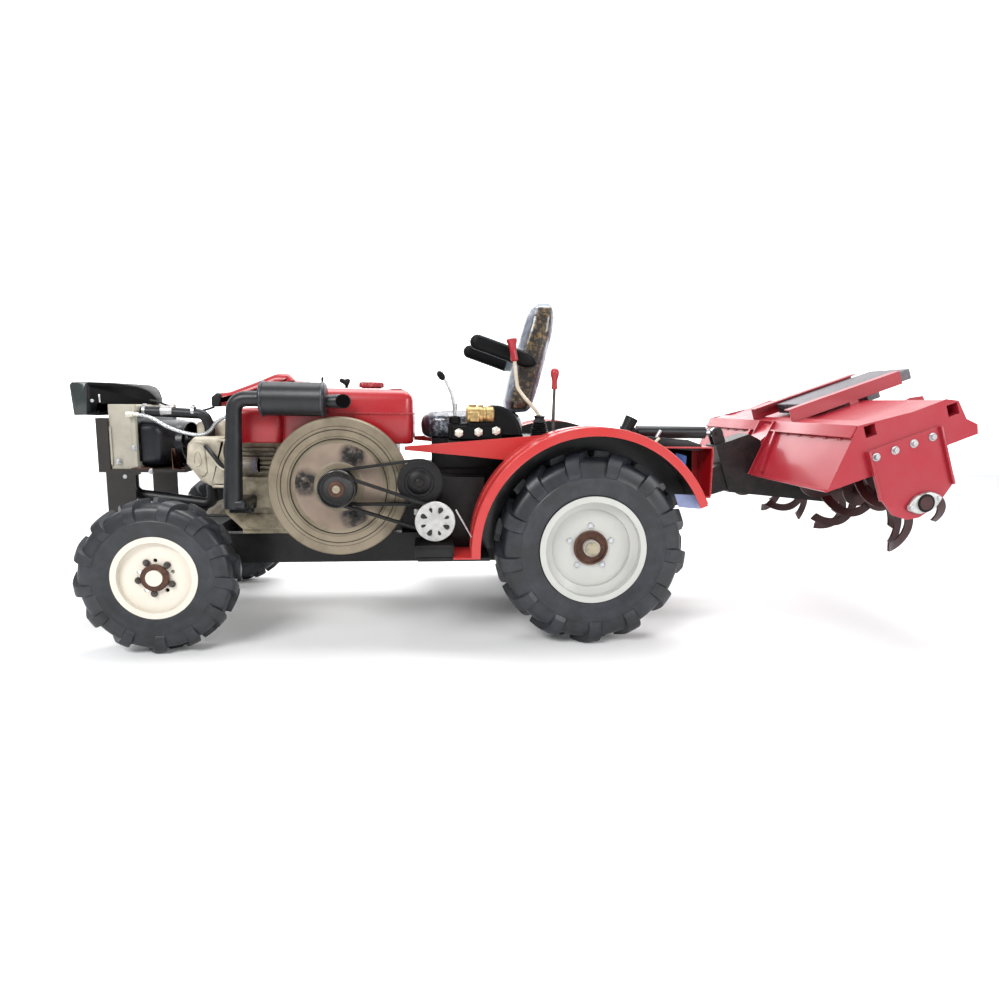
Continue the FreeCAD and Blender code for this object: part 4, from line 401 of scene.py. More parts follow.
# %% Finish the CAD nodes
cad_finishes = {
    tyre_rubber: ["rear_left_tyre", "rear_right_tyre", "front_left_tyre", "front_right_tyre"],
    silver_enamel: ["rear_left_rim", "rear_right_rim"],
    white_enamel: ["front_left_rim", "front_right_rim"],
    black_enamel: ["chassis_rails", "front_axle", "left_knuckle", "right_knuckle", "tie_rod",
                   "footboards", "battery_box", "seat_base"],
    brown_post: ["front_frame"],
    cast_cream: ["engine_block"],
    pale_cream: ["cylinder_head"],
    flywheel_iron: ["flywheel"],
    gear_iron: ["gearbox", "drive_case", "lift_housing"],
    matt_black: ["crank_pulley", "clutch_pulley", "armrests", "seat_cushion", "seat_backrest"],
    belt_rubber: ["drive_belts"],
    cast_aluminium: ["alternator", "alternator_pulley"],
    red_enamel: ["fuel_tank", "front_cowl", "hitch_frame"],
    tiller_red: ["tiller_hood", "lower_side_plates", "mast_arms"],
    coral_enamel: ["left_fender", "right_fender"],
    red_plastic: ["fuel_cap"],
    hot_black: ["muffler", "lift_cylinder", "air_cleaner"],
    radiator_tank: ["radiator"],
    blue_black: ["fan_shroud"],
    moulded_black: ["lamp_box", "hydraulic_valve"],
    hose_rubber: ["coolant_hoses"],
    galvanised: ["mast_channel"],
    hard_chrome: ["lift_rod"],
    tine_paint: ["tine_rotor"],
    steel_scale: ["rotor_bearings"],
    bright_zinc: ["control_levers", "headlamps"],
}
for finish, nodes in cad_finishes.items():
    for node in nodes:
        slots = frame["nodes"][node].data.materials
        slots.clear()
        slots.append(finish)
left_over = set(frame["nodes"]) - {n for nodes in cad_finishes.values() for n in nodes}
print("nodes without a finish:", sorted(left_over))

# %% [markdown]
# ## Surfaces from numbers
# Almost every piece is one of three surfaces. A **loft** stacks copies of an outline, each drawn
# in a little along its own normals, so a pressed or moulded box gets soft edges. A **lathe**
# carries a profile round an axis. A **tube** carries a circle along a path.

# %% Grids, outlines and skins
def round_turn(steps):
    """Angles of one full turn in equal steps, the first not repeated at the end."""
    return np.linspace(0, 2 * math.pi, steps, endpoint=False)


def superellipse(turn, power):
    """Cosine and sine with their sizes raised to a power: below 1 the circle turns squarer."""
    return [np.sign(wave) * np.abs(wave) ** power for wave in (np.cos(turn), np.sin(turn))]


def unit(vectors):
    """Each row divided by its length."""
    return vectors / np.linalg.norm(vectors, axis=1)[:, None]


def quads(rows, columns, wrap_rows=False, wrap_columns=True):
    """Four neighbours of a grid numbered row by row, the last joined to the first if wrapped."""
    row = np.arange(rows if wrap_rows else rows - 1)[:, None]
    column = np.arange(columns if wrap_columns else columns - 1)[None, :]
    below, beside = (row + 1) % rows, (column + 1) % columns
    corners = [row * columns + column, row * columns + beside, below * columns + beside,
               below * columns + column]
    return np.stack(np.broadcast_arrays(*corners), -1).reshape(-1, 4).tolist()


def skin(rings, wrap_rows=False, ends=True):
    """A closed skin through rings of points (rings, points, 3), with a face over each end."""
    rows, columns = rings.shape[:2]
    faces = quads(rows, columns, wrap_rows)
    if ends and not wrap_rows:
        faces += [list(range(columns)), list(range((rows - 1) * columns, rows * columns))]
    return rings.reshape(-1, 3), faces


def rounded(corners, radii, steps=5):
    """An outline whose corners are arcs: each starts r*tan(half turn) before its corner, and is
    drawn as a quadratic curve between the two tangent points, which is near enough an arc."""
    corners = np.asarray(corners, float)
    radii = np.broadcast_to(radii, len(corners))
    before, after = np.roll(corners, 1, 0) - corners, np.roll(corners, -1, 0) - corners
    long_before = np.linalg.norm(before, axis=1)[:, None]
    long_after = np.linalg.norm(after, axis=1)[:, None]
    before, after = before / long_before, after / long_after
    half = np.arccos(np.clip((before * after).sum(1), -0.999, 0.999)) / 2
    trim = np.minimum(radii / np.tan(half), 0.45 * np.minimum(long_before, long_after)[:, 0])
    first, last = corners + before * trim[:, None], corners + after * trim[:, None]
    t = np.linspace(0, 1, steps + 1)[None, :, None]
    arcs = (1 - t) ** 2 * first[:, None] + 2 * t * (1 - t) * corners[:, None] \
        + t ** 2 * last[:, None]
    return arcs.reshape(-1, 2)


def inward(outline):
    """Unit normals of a closed outline, pointing in: the tangent turned a quarter."""
    tangent = np.roll(outline, -1, 0) - np.roll(outline, 1, 0)
    normal = np.stack([-tangent[:, 1], tangent[:, 0]], 1)
    normal /= np.linalg.norm(normal, axis=1)[:, None] + 1e-9
    x, y = outline.T
    area = (x * np.roll(y, -1) - y * np.roll(x, -1)).sum()
    return normal * np.sign(area)


# The two axes of each plane, then the third.
PLANES = {"XY": (0, 1, 2), "XZ": (0, 2, 1), "YZ": (1, 2, 0)}


def loft(outline, levels, plane="XZ", place=at):
    """outline + inset * inward normal at each (height, inset), heights along the third axis."""
    heights, insets = np.asarray(levels, float).T
    flat = outline[None] + inward(outline)[None] * insets[:, None, None]
    rings = np.empty(flat.shape[:2] + (3,))
    first, second, third = PLANES[plane]
    rings[..., first], rings[..., second] = flat[..., 0], flat[..., 1]
    rings[..., third] = heights[:, None]
    return skin(place(rings))


def soft_edges(low, high, radius, steps=4):
    """Levels of a slab whose two rims are quarter circles. In from each face the height is
    r(1 - cos) and the inset r(1 - sin), as the angle goes from 0 to a quarter turn."""
    turn = np.linspace(0, math.pi / 2, steps + 1)
    rim = np.stack([radius * (1 - np.cos(turn)), radius * (1 - np.sin(turn))], 1)
    start = np.stack([low + rim[:, 0], rim[:, 1]], 1)
    end = np.stack([high - rim[::-1, 0], rim[::-1, 1]], 1)
    return np.concatenate([start, end])


def slab(corners, low, high, plane="XZ", edge=2.0, turn=3.0, place=at):
    """A plate with round corners and soft rims."""
    return loft(rounded(corners, turn), soft_edges(low, high, edge, 2), plane, place)


def block(low, high, edge=4.0, turn=6.0, plane="XY", place=at):
    """A box between two corners, standing on the plane, with soft rims and round corners."""
    first, second, third = PLANES[plane]
    a, b, c, d = low[first], low[second], high[first], high[second]
    return loft(rounded([(a, b), (c, b), (c, d), (a, d)], turn),
                soft_edges(low[third], high[third], edge, 3), plane, place)
print("lofts drawn in the planes", *PLANES)

# %% [markdown]
# A lathe takes its profile as (along, radius) pairs. A tube carries a circle along its path,
# across the tangent. A bolt head is six points stacked up, with the top ones drawn in as its
# corners are turned off.

# %% Lathes, tubes and bolts
# Two vectors across each axis, then the axis itself.
AXES = {"X": np.eye(3)[[1, 2, 0]], "Y": np.eye(3)[[2, 0, 1]], "Z": np.eye(3)}


def lathe(profile, centre, axis="Y", steps=64, place=at, ring=False):
    """Points (along, radius) turned about an axis: centre + along*axis + r(cos*u + sin*v)."""
    along, radius = np.asarray(profile, float).T
    turn = round_turn(steps)
    u, v, w = AXES[axis] if isinstance(axis, str) else axis
    rings = np.asarray(centre, float) + along[:, None, None] * w \
        + radius[:, None, None] * (np.cos(turn)[None, :, None] * u
                                   + np.sin(turn)[None, :, None] * v)
    return skin(place(rings), wrap_rows=ring)


def basis(way):
    """Three unit vectors, the last along the way given."""
    w = np.asarray(way, float)
    w = w / np.linalg.norm(w)
    u = np.cross(w, [0, 0, 1] if abs(w[2]) < 0.9 else [1, 0, 0])
    u /= np.linalg.norm(u)
    return np.stack([u, np.cross(w, u), w])


def eased(points, rounds=3):
    """A path with its corners cut: every run keeps its quarter points, again and again."""
    path = np.asarray(points, float)
    for _ in range(rounds):
        cuts = np.stack([0.75 * path[:-1] + 0.25 * path[1:], 0.25 * path[:-1] + 0.75 * path[1:]],
                        1).reshape(-1, 3)
        path = np.concatenate([path[:1], cuts, path[-1:]])
    return path


def tube(path, radius, sides=14, place=at):
    """A circle of each radius across the path, in the frame of the tangent and of the normal
    of the path's own plane."""
    path = np.asarray(path, float)
    tangent = unit(np.gradient(path, axis=0))
    flat = np.linalg.svd(path - path.mean(0))[2][2]
    if len(path) == 2 or np.abs(tangent @ flat).max() > 0.95:
        flat = basis(tangent[0])[0]
    u = unit(np.cross(tangent, flat))
    v = np.cross(tangent, u)
    turn = round_turn(sides)
    radius = np.broadcast_to(radius, len(path))[:, None, None]
    rings = path[:, None] + radius * (np.cos(turn)[None, :, None] * u[:, None]
                                      + np.sin(turn)[None, :, None] * v[:, None])
    return skin(place(rings))


# The machine's left, where its flywheel is.
LEFT = (0, -1, 0)


def hexes(places, way, across=17.0, high=9.0, washer=1.35, place=at, stud=0.0):
    """Bolt heads: a washer, a six-sided head with its corners turned off, and a stud end."""
    u, v, w = basis(way)
    six = np.arange(6) * math.pi / 3
    hexagon = np.stack([np.cos(six), np.sin(six)], 1) * across / math.sqrt(3)
    made = []
    for spot in np.asarray(places, float).reshape(-1, 3):
        def ring(flat, height):
            """Points of the plane across the bolt, carried along it by a height."""
            return spot + flat[:, :1] * u + flat[:, 1:] * v + height * w
        levels = [(0, 1), (high * 0.8, 1), (high, 0.86)]
        made.append(skin(place(np.stack([ring(hexagon * k, h + 2) for h, k in levels]))))
        made.append(lathe([(0, across * washer / 1.9), (2, across * washer / 1.9)], spot,
                          (u, v, w), 20, place))
        if stud:
            made.append(lathe([(high, across * 0.28), (high + stud, across * 0.28),
                               (high + stud + 1.5, across * 0.2)], spot, (u, v, w), 12, place))
    return made


def mirrored(surfaces):
    """The same surfaces on the other side, Y with its sign changed and faces turned over."""
    return [(points * [1, -1, 1], [face[::-1] for face in faces]) for points, faces in surfaces]


def both(surfaces):
    """The same surfaces on both sides."""
    return list(surfaces) + mirrored(surfaces)
print("lathes about the axes", *AXES)

# %% [markdown]
# A piece is some surfaces joined into one object. It rides on the body of a CAD node and may
# stand in for a node's plainer mesh.

# %% Making a piece
def piece(name, surfaces, finish, on="chassis_rails", replaces=None, sharp=38):
    """One object from several closed skins: joined, normals outward, smooth up to an angle.
    on is a CAD node, whose body it takes."""
    if isinstance(surfaces, tuple):
        surfaces = [surfaces]
    starts = np.cumsum([0] + [len(points) for points, faces in surfaces])
    points = np.concatenate([points for points, faces in surfaces])
    faces = [[int(start) + k for k in face] for start, (_, some) in zip(starts, surfaces)
             for face in some]
    mesh = bpy.data.meshes.new(name)
    mesh.from_pydata(points.tolist(), [], faces)
    shell = bmesh.new()
    shell.from_mesh(mesh)
    bmesh.ops.remove_doubles(shell, verts=shell.verts, dist=1e-6)
    bmesh.ops.recalc_face_normals(shell, faces=shell.faces)
    shell.to_mesh(mesh)
    shell.free()
    mesh.shade_smooth()
    mesh.set_sharp_from_angle(angle=math.radians(sharp))
    mesh.materials.append(finish)
    made = bpy.data.objects.new(name, mesh)
    bpy.context.collection.objects.link(made)
    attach(made, body_of_node[on])
    if replaces:
        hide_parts(replaces)
    return made


body_of_node = {node: body for body, nodes in
                frame["record"]["behaviour"]["bodies"].items() for node in nodes}

# %% [markdown]
# ## Tyres
# A drive tyre is a rubber ring with bars set as chevrons, which dig in and let the soil fall
# out at the shoulder. One grid makes the whole tyre: its rows run from bead to bead, and its
# columns lean forward with distance from the middle, as the bars do, so a bar is simply a few
# columns raised along the normal and all its edges stay crisp.

# %% Chevron tyre
def tyre_surface(centre, outside, bead, half, bars, bar_high):
    """Radius and Y of each row, plus bar height times (column is on a bar) times (row is).
    The lean is an angle: tan 40 times the distance from the middle over the radius."""
    crown = outside - bar_high
    wall = crown - bead
    section = np.array([
        (0.00, 0.70), (0.04, 0.76), (0.10, 0.80), (0.13, 0.86), (0.16, 0.85), (0.30, 0.95),
        (0.44, 1.00), (0.50, 1.00), (0.52, 1.02), (0.55, 1.02), (0.57, 0.995), (0.66, 0.985),
        (0.74, 0.965), (0.82, 0.935), (0.885, 0.89), (0.93, 0.82), (0.963, 0.72), (0.985, 0.55),
        (0.995, 0.36), (1.00, 0.18), (1.00, 0.075), (1.00, 0.045)])
    radius = bead + wall * section[:, 0]
    across = half * 0.91 * section[:, 1]
    rise = np.interp(section[:, 0], [0.60, 0.66, 0.90, 1.0], [0.0, 0.75, 0.95, 1.0])
    rise[section[:, 0] < 0.6] = 0
    rise[-1] = 0
    outward = np.interp(section[:, 0], [0.6, 0.82, 0.95, 1.0], [0.05, 0.35, 0.90, 1.0])
    rows_y = np.concatenate([across, -across[::-1]])
    rows_r = np.concatenate([radius, radius[::-1]])
    rows_rise = np.concatenate([rise, rise[::-1]])
    rows_out = np.concatenate([outward, outward[::-1]])
    phases = np.array([-.19, -.155, -.08, .08, .155, .19, .23, .27, .31, .345, .42, .58, .655,
                       .69, .73, .77])
    turns = (np.arange(bars)[:, None] + phases[None]).ravel() / bars * 2 * math.pi
    phase = np.tile(phases, bars)
    near = np.abs(phase) < 0.16
    far = np.abs(phase - 0.5) < 0.16
    raised = np.where(rows_y[:, None] > 0, near[None], far[None])
    height = bar_high * rows_rise[:, None] * raised
    lean = np.tan(math.radians(40)) * np.minimum(np.abs(rows_y), half * 0.86) / outside
    angle = turns[None] + lean[:, None]
    out = rows_r[:, None] + height * rows_out[:, None]
    side = rows_y[:, None] + height * np.sign(rows_y)[:, None] * np.sqrt(
        1 - rows_out[:, None] ** 2) * 0.55
    inner_y = np.array([-0.66, -0.90, -0.60, 0, 0.60, 0.90, 0.66]) * half * 0.98
    inner_r = bead + wall * np.array([0.0, 0.45, 0.93, 0.965, 0.93, 0.45, 0.0])
    out = np.concatenate([out, np.broadcast_to(inner_r[:, None], (7, len(turns)))])
    side = np.concatenate([side, np.broadcast_to(inner_y[:, None], (7, len(turns)))])
    angle = np.concatenate([angle, np.broadcast_to(turns[None], (7, len(turns)))])
    x, y, z = centre
    rings = np.stack([x + out * np.cos(angle), y + side, z + out * np.sin(angle)], -1)
    return rings.reshape(-1, 3), quads(*rings.shape[:2], wrap_rows=True)


for end, bars, bar_high in (("rear", 13, 22), ("front", 13, 17)):
    for hand_name in ("left", "right"):
        node = f"{end}_{hand_name}_tyre"
        low, high = (np.array(corner) * 1000 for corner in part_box(node))
        rim_low, rim_high = (np.array(c) * 1000 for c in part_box(f"{end}_{hand_name}_rim"))
        outside, half = (high[2] - low[2]) / 2, (high[1] - low[1]) / 2
        bead = (rim_high[2] - rim_low[2]) / 2 - 16
        points, faces = tyre_surface((low + high) / 2, outside, bead, half, bars, bar_high)
        piece(f"{node}_tread", (points / 1000, faces), tyre_rubber, on=node, replaces=node,
              sharp=30)

# %% [markdown]
# ## Tank and cowl
# The tank is two pressed steel halves welded at a flange, so its corners are generous and a
# thin seam runs round it. The cowl over the valve gear is one deep pressing with a high gloss.

# %% Fuel tank
tank_levels = [(720, 9), (722, 4), (727, 0), (829, 0), (829.5, -5), (834, -5), (834.5, 0),
               (878, 0.5), (894, 4), (908, 13), (917, 27), (922, 46), (924, 80)]
tank_plan = rounded([(-1128, -330), (-649, -330), (-649, 270), (-1128, 270)], 42, 7)
nose_plan = rounded([(-1303, -330), (-1122, -330), (-1122, 270), (-1303, 270)], 30, 6)
nose_levels = [(720, 8), (722, 3), (726, 0), (822, 0), (834, 3), (841, 10), (844, 24)]
piece("fuel_tank_pressing", [loft(tank_plan, tank_levels, "XY"),
                             loft(nose_plan, nose_levels, "XY")], red_enamel,
      replaces="fuel_tank", sharp=50)
cap_ribs = np.arange(120) / 120 * 2 * math.pi
cap_plan = np.stack([-815 + (47 + 1.6 * np.cos(cap_ribs * 24)) * np.cos(cap_ribs),
                     -130 + (47 + 1.6 * np.cos(cap_ribs * 24)) * np.sin(cap_ribs)], 1)
cap_levels = [(929, 4), (931, 0.5), (944, 0.5), (948, 3), (949.8, 9), (950, 16)]
cap_neck = lathe([(918, 38), (929, 38)], (-815, -130, 0), "Z", 48)
piece("fuel_cap_ribbed", [loft(cap_plan, cap_levels, "XY"), cap_neck], red_plastic,
      replaces="fuel_cap")
heart = [(-912, 924), (-917, 932), (-925, 941), (-940, 949), (-943, 958), (-934, 965),
         (-921, 960), (-908, 965), (-899, 958), (-902, 949), (-906, 941)]
piece("bonnet_knob", [slab(heart, -112, -92, "XZ", 5, 4),
                      lathe([(920, 7), (938, 5)], (-915, -102, 0), "Z", 16)], matt_black)
print("tank up to", tank_levels[-1][0], "mm, cap up to", cap_levels[-1][0], "mm")

# %% [markdown]
# The cowl's side outline is carried across the machine, and its rims are rounded by 26 mm. A
# rubber strip closes the gap in front of it.

# %% Cowl
cowl_side = rounded([(-1426, 850), (-1424, 886), (-1404, 900), (-1362, 904), (-1262, 943),
                     (-1184, 977), (-1134, 978), (-1112, 955), (-1104, 926), (-1126, 924),
                     (-1150, 848)], [10, 14, 30, 60, 120, 60, 16, 12, 3, 10, 4], 6)
piece("cowl_pressing", loft(cowl_side, soft_edges(-130, 270, 26, 6), "XZ"), red_enamel,
      replaces="front_cowl", sharp=60)
lip = rounded([(-1425, 846), (-1424, 884), (-1402, 901), (-1386, 896), (-1392, 848)], 9)
piece("cowl_rubber", loft(lip, soft_edges(-136, 120, 6, 3), "XZ"), matt_black)
print("tank, cap, knob and cowl")

# %% [markdown]
# ## Lamp box and radiator
# The lamps sit in a moulded black hood over the radiator, behind one wide clear panel that
# leans back a little. The radiator is a finned core between two folded side channels.

# %% Lamp box
HOOD_REAR_SHARE = 0.14


def hooded(points):
    """Y is kept in front and drawn in towards the rear, so that the hood narrows over the
    radiator: the factor falls in a line along X."""
    points = np.array(points, float)
    points[..., 1] *= np.interp(points[..., 0], [-1790, -1664], [1, HOOD_REAR_SHARE])
    return at(points)


hood_side = rounded([(-1884, 812), (-1881, 933), (-1764, 931), (-1708, 920), (-1682, 904),
                     (-1666, 878), (-1664, 854), (-1726, 854), (-1798, 851), (-1802, 810)],
                    [4, 8, 60, 60, 24, 14, 6, 4, 8, 6], 5)
piece("lamp_hood", loft(hood_side, soft_edges(-214, 214, 8, 4), "XZ", hooded), moulded_black,
      replaces="lamp_box")
lens_side = rounded([(-1888, 810), (-1896.5, 920), (-1888, 931), (-1836, 931), (-1842, 812)],
                    [4, 8, 6, 4, 4])
print("lamp hood narrows to", HOOD_REAR_SHARE, "of its width")

# %% [markdown]
# The lens is one moulding over both lamps. Each reflector is a thin bowl turned on a lathe.

# %% Clear lens
def lens_finish():
    """Polycarbonate, smoky and a little milky, with upright flutes moulded in its back."""
    finish, tree, where = blank_finish("Clear polycarbonate lens")
    flute = add(tree, "TexWave", {"Vector": where, "Scale": 14.0}, bands_direction="Y")
    close_finish(tree, {"Base Color": paint_hex("#39403F"), "Roughness": 0.16, "IOR": 1.5,
                        "Transmission Weight": 0.25,
                        "Normal": bumped(tree, flute.outputs["Fac"], 0.25, 0.002)})
    return finish


lens_plastic = lens_finish()
bowl = [(-1882, 44), (-1878, 46), (-1870, 38), (-1860, 22), (-1856, 8), (-1854, 8),
        (-1854, 24), (-1866, 46), (-1880, 50)]
reflectors = [lathe(bowl, (0, y, 868), "X", 40, ring=True) for y in (-115, 115)]
piece("lamp_lens", loft(lens_side, soft_edges(-214.6, 214.6, 3, 2), "XZ"), lens_plastic,
      replaces="headlamps")
piece("lamp_reflectors", reflectors, hard_chrome)
clip = slab([(-1797, 858), (-1792, 858), (-1793, 888), (-1799, 888)], -214.8, -212, "XZ", 0.8, 1)
piece("lamp_hood_clip", [clip] + hexes([(-1822, -211, 864)], LEFT, 9, 2), bright_zinc)
print("hood, lens, two reflectors and a clip")

# %% [markdown]
# Fins are too fine to model one by one, so waves in the finish draw them as painted highlights on
# their ridges and painted shade in the gaps between. The channels and tanks round the core are real shapes.

# %% Radiator
def fins_in_painted_light(name, colour):
    """Thin pressed fins in painted light: a painted highlight on a ridge every 6 mm and painted
    shade between, drawn three times their real pitch, crossed by tubes every 14 mm. Their painted shades are
    multiplied."""
    finish, tree, where = blank_finish(name)
    fin_painted_shades = []
    for pitch, way, darkest in ((6, "Z", 0.25), (14, "Y", 0.4)):
        wave = add(tree, "TexWave", {"Vector": where, "Scale": 1000 / pitch / 6.28 / 3.2},
                   bands_direction=way)
        fin_painted_shades.append(spread(tree, wave.outputs["Fac"], 0.0, 1.0, darkest))
    shade = maths(tree, "MULTIPLY", *fin_painted_shades)
    # The colour runs from near-black painted shade in the gaps to grey painted highlight on the ridges.
    close_finish(tree, {"Base Color": mixed(tree, shade, "#0E0E10", colour), "Roughness": 0.4,
                        "Metallic": 0.5, "Normal": bumped(tree, shade, 0.6, 0.002)})
    return finish


core_fins = fins_in_painted_light("Black radiator fins in painted light and shade", "#45464A")
piece("radiator_core", block((-1769, -199, 636), (-1679, 199, 828), 2, 2), core_fins,
      replaces="radiator")
channel = rounded([(-1773, 611), (-1675, 611), (-1675, 852), (-1773, 852)], 3)
radiator_sides = [loft(channel, soft_edges(-205, -194, 2, 2), "XZ"),
                  slab([(-1690, 620), (-1676, 620), (-1676, 848), (-1690, 848)], -211, -202,
                       edge=2),
                  slab([(-1772, 626), (-1764, 626), (-1764, 770), (-1772, 770)], -211, -202,
                       edge=2)]
tanks = [block((-1771, -198, 612), (-1677, 198, 640), 6, 10),
         block((-1771, -198, 824), (-1677, 198, 852), 6, 10)]
outlet = lathe([(585, 26), (586, 30), (600, 30), (620, 30)], (-1724, -150, 0), "Z", 24)
piece("radiator_frame", both(radiator_sides) + tanks + [outlet], radiator_tank)
print("radiator core between", 2 * len(radiator_sides), "side strips and", len(tanks), "tanks")

# %% [markdown]
# The shroud gathers the core's square face into a round throat for the fan. Its rings are
# blended from one outline to the other, point by point.

# %% Shroud and fan
turn = round_turn(96)
square = np.stack(superellipse(turn, 0.28), 1) * [178, 90]
throat = np.stack([np.cos(turn), np.sin(turn)], 1) * [120, 84]
steps = [(-1674, 0.0, 0), (-1634, 0.04, 0), (-1614, 0.15, 0), (-1594, 0.5, 0), (-1582, 0.8, 0),
         (-1572, 1.0, 0), (-1548, 1.0, 0), (-1548, 1.0, 5), (-1572, 1.0, 5), (-1586, 0.8, 5),
         (-1600, 0.5, 5), (-1672, 0.0, 5)]
rings = []
for x, blend, wall in steps:
    outline = square * (1 - blend) + throat * blend
    outline = outline + inward(outline) * wall
    rings.append(np.stack([np.full(96, float(x)), outline[:, 0], 702 + outline[:, 1]], 1))
piece("fan_shroud_moulding", skin(at(np.array(rings)), wrap_rows=True), blue_black,
      replaces="fan_shroud", sharp=50)
blades = []
for k in range(6):
    a = k * math.pi / 3
    radial = np.array([0, math.cos(a), math.sin(a)])
    round_way = np.array([0, -math.sin(a), math.cos(a)])
    corners = [(24, -14, -8), (24, 14, 8), (76, 22, 11), (76, -22, -11)]
    near = [radial * r + round_way * s + np.array([-1579 + d, 0, 702]) for r, s, d in corners]
    blades.append(skin(at(np.array([near, [p + [3, 0, 0] for p in near]]))))
hub = lathe([(-1586, 12), (-1584, 26), (-1570, 28), (-1564, 14), (-1500, 12)], (0, 0, 702), "X",
            32)
piece("cooling_fan", blades + [hub], matt_black)
print("lamp hood, radiator and fan")


# %% [markdown]
# A hose is a smooth curve held by a few points, with one diameter all along. A braided one
# keeps a wide bend, because wire doesn't fold.

# %% Hoses and cables
def laid(name, points, diameter, finish, slot):
    """A cord of one open spline, held by its few points. Between the middles of its legs it is
    (1-t)^2 a + 2t(1-t) b + t^2 c, so its length and its tightest bend are summed from there."""
    points = np.asarray(points, float)
    curve = bpy.data.curves.new(name, "CURVE")
    curve.dimensions, curve.bevel_depth, curve.bevel_resolution = "3D", diameter / 2000, 6
    curve.use_fill_caps, curve.resolution_u = True, 16
    line = curve.splines.new("NURBS")
    line.points.add(len(points) - 1)
    placed = at(points)
    for knot, spot in zip(line.points, placed):
        knot.co = (*spot, 1)
    line.order_u, line.use_endpoint_u = 3, True
    knots = np.concatenate([points[:1], (points[1:-2] + points[2:-1]) / 2, points[-1:]])
    t = np.linspace(0, 1, 41)[:, None]
    arcs = [(1 - t) ** 2 * a + 2 * t * (1 - t) * b + t ** 2 * c
            for a, b, c in zip(knots[:-1], points[1:-1], knots[1:])]
    run = np.concatenate(arcs)
    run = run[np.r_[True, np.linalg.norm(np.diff(run, axis=0), axis=1) > 1e-6]]
    step = np.diff(run, axis=0)
    size = np.linalg.norm(step, axis=1)
    way = step / size[:, None]
    bend = np.linalg.norm(np.diff(way, axis=0), axis=1) / ((size[1:] + size[:-1]) / 2)
    rope = bpy.data.objects.new(name, curve)
    bpy.context.scene.collection.objects.link(rope)
    rope.data.materials.append(finish)
    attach(rope, body_of_node[slot])
    print(name, round(float(size.sum())), "mm, tightest bend", round(float(1 / bend.max())), "mm")


def braid(name):
    """Steel wire braid: two slanted waves at right angles, the higher one showing."""
    finish, tree, where = blank_finish(name)
    spun = []
    for slope in (1.0, -1.0):
        leaned = add(tree, "Mapping", {"Vector": where, "Scale": (1.0, slope, 1.0)})
        spun.append(add(tree, "TexWave", {"Vector": leaned.outputs["Vector"], "Scale": 60.0},
                        bands_direction="DIAGONAL").outputs["Fac"])
    top = maths(tree, "MAXIMUM", *spun)
    close_finish(tree, {"Base Color": mixed(tree, top, "#55575A", "#C9CBCC"), "Roughness": 0.3,
                        "Metallic": 0.8, "Normal": bumped(tree, top, 0.5, 0.001)})
    return finish


wire_braid = braid("Steel wire braid")
laid("fuel_feed_hose", [(-1664, -226, 816), (-1618, -230, 812), (-1560, -248, 776),
                        (-1490, -264, 752), (-1430, -272, 742), (-1390, -278, 756),
                        (-1365, -284, 793), (-1328, -288, 815), (-1298, -288, 815)], 13,
     wire_braid, "coolant_hoses")
laid("lamp_cable", [(-1655, -120, 868), (-1618, -126, 862), (-1560, -150, 840),
                    (-1500, -160, 828), (-1450, -152, 830), (-1415, -130, 846)], 8, hose_rubber,
     "battery_box")
ferrule = [(-1700, 5), (-1700, 10), (-1694, 11), (-1676, 11), (-1674, 8), (-1658, 8),
           (-1656, 7.4)]
fittings = [lathe(ferrule, (0, -226, 816), "X", 28),
            block((-1702, -234, 806), (-1680, -205, 826), 3, 5),
            lathe([(-1322, 6.8), (-1320, 9), (-1308, 9), (-1306, 12), (-1299, 12)],
                  (0, -288, 815), "X", 28)]
piece("fuel_feed_fittings", fittings, pale_zinc)


def clamp(centre, radius):
    """A worm-drive band, 11 mm wide, with its screw housing on top."""
    x, y, z = centre
    band = lathe([(-5.5, radius), (-5.5, radius + 1.6), (5.5, radius + 1.6), (5.5, radius)],
                 centre, "X", 48, ring=True)
    screw = block((x - 5, y - 8, z + radius), (x + 5, y + 8, z + radius + 8), 2, 3)
    return [band, screw]


bands = [surface for x in (-1664, -1486) for surface in clamp((x, -150, 828), 19)]
piece("hose_clamps", bands, bright_zinc)
sleeve = lathe([(-1604, 19), (-1602, 21), (-1562, 21), (-1560, 19)], (0, -150, 828), "X", 40)
piece("hose_sleeve", sleeve, cast_aluminium)
print("two clamps and a sleeve")

# %% [markdown]
# Small lines and bolts fill the shelf between radiator and engine.

# %% Front shelf fittings
bracket = [slab([(-1552, 611), (-1514, 611), (-1514, 617), (-1546, 617), (-1546, 690),
                 (-1552, 690)], -216, -190, "XZ", 1, 1),
           slab([(-1700, 611), (-1634, 611), (-1634, 616), (-1700, 616)], -214, -180, "XZ", 1, 1)]
piece("shelf_bracket", bracket, rusty_bore)
shelf_bolts = hexes([(-1722, -211, 584), (-1744, -211, 640), (-1630, -211, 604),
                     (-1686, -211, 690)], LEFT, 15, 6)
piece("shelf_bolts", shelf_bolts, bright_zinc)
oil_lines = [tube(eased([(-1426, -222, 702), (-1396, -240, 672), (-1368, -244, 630),
                         (-1326, -240, 612)], 3), 8, 14),
             tube(eased([(-1330, -262, 740), (-1352, -250, 690), (-1344, -246, 640)], 3), 5, 12)]
piece("breather_lines", oil_lines, hose_rubber)
fuel_lines = [tube(eased([(-1398, -226, 664), (-1388, -242, 640), (-1362, -246, 612),
                          (-1322, -240, 604)], 3), 5, 12),
              tube([(-1376, -232, 724), (-1322, -240, 722)], 6, 12)]
piece("injector_lines", fuel_lines, pale_cream)
piece("oil_filler_rod", tube([(-1404, -226, 548), (-1332, -226, 548)], 6, 12), pale_cream)
print("shelf fittings and small lines")

# %% [markdown]
# ## Engine
# A horizontal diesel: the head faces forward, the cylinder lies along the machine, and the
# flywheel hangs on the left. Castings have draft, soft edges and bosses, so they are lofts with
# generous radii, and ribs stand on them where the sand core was split.

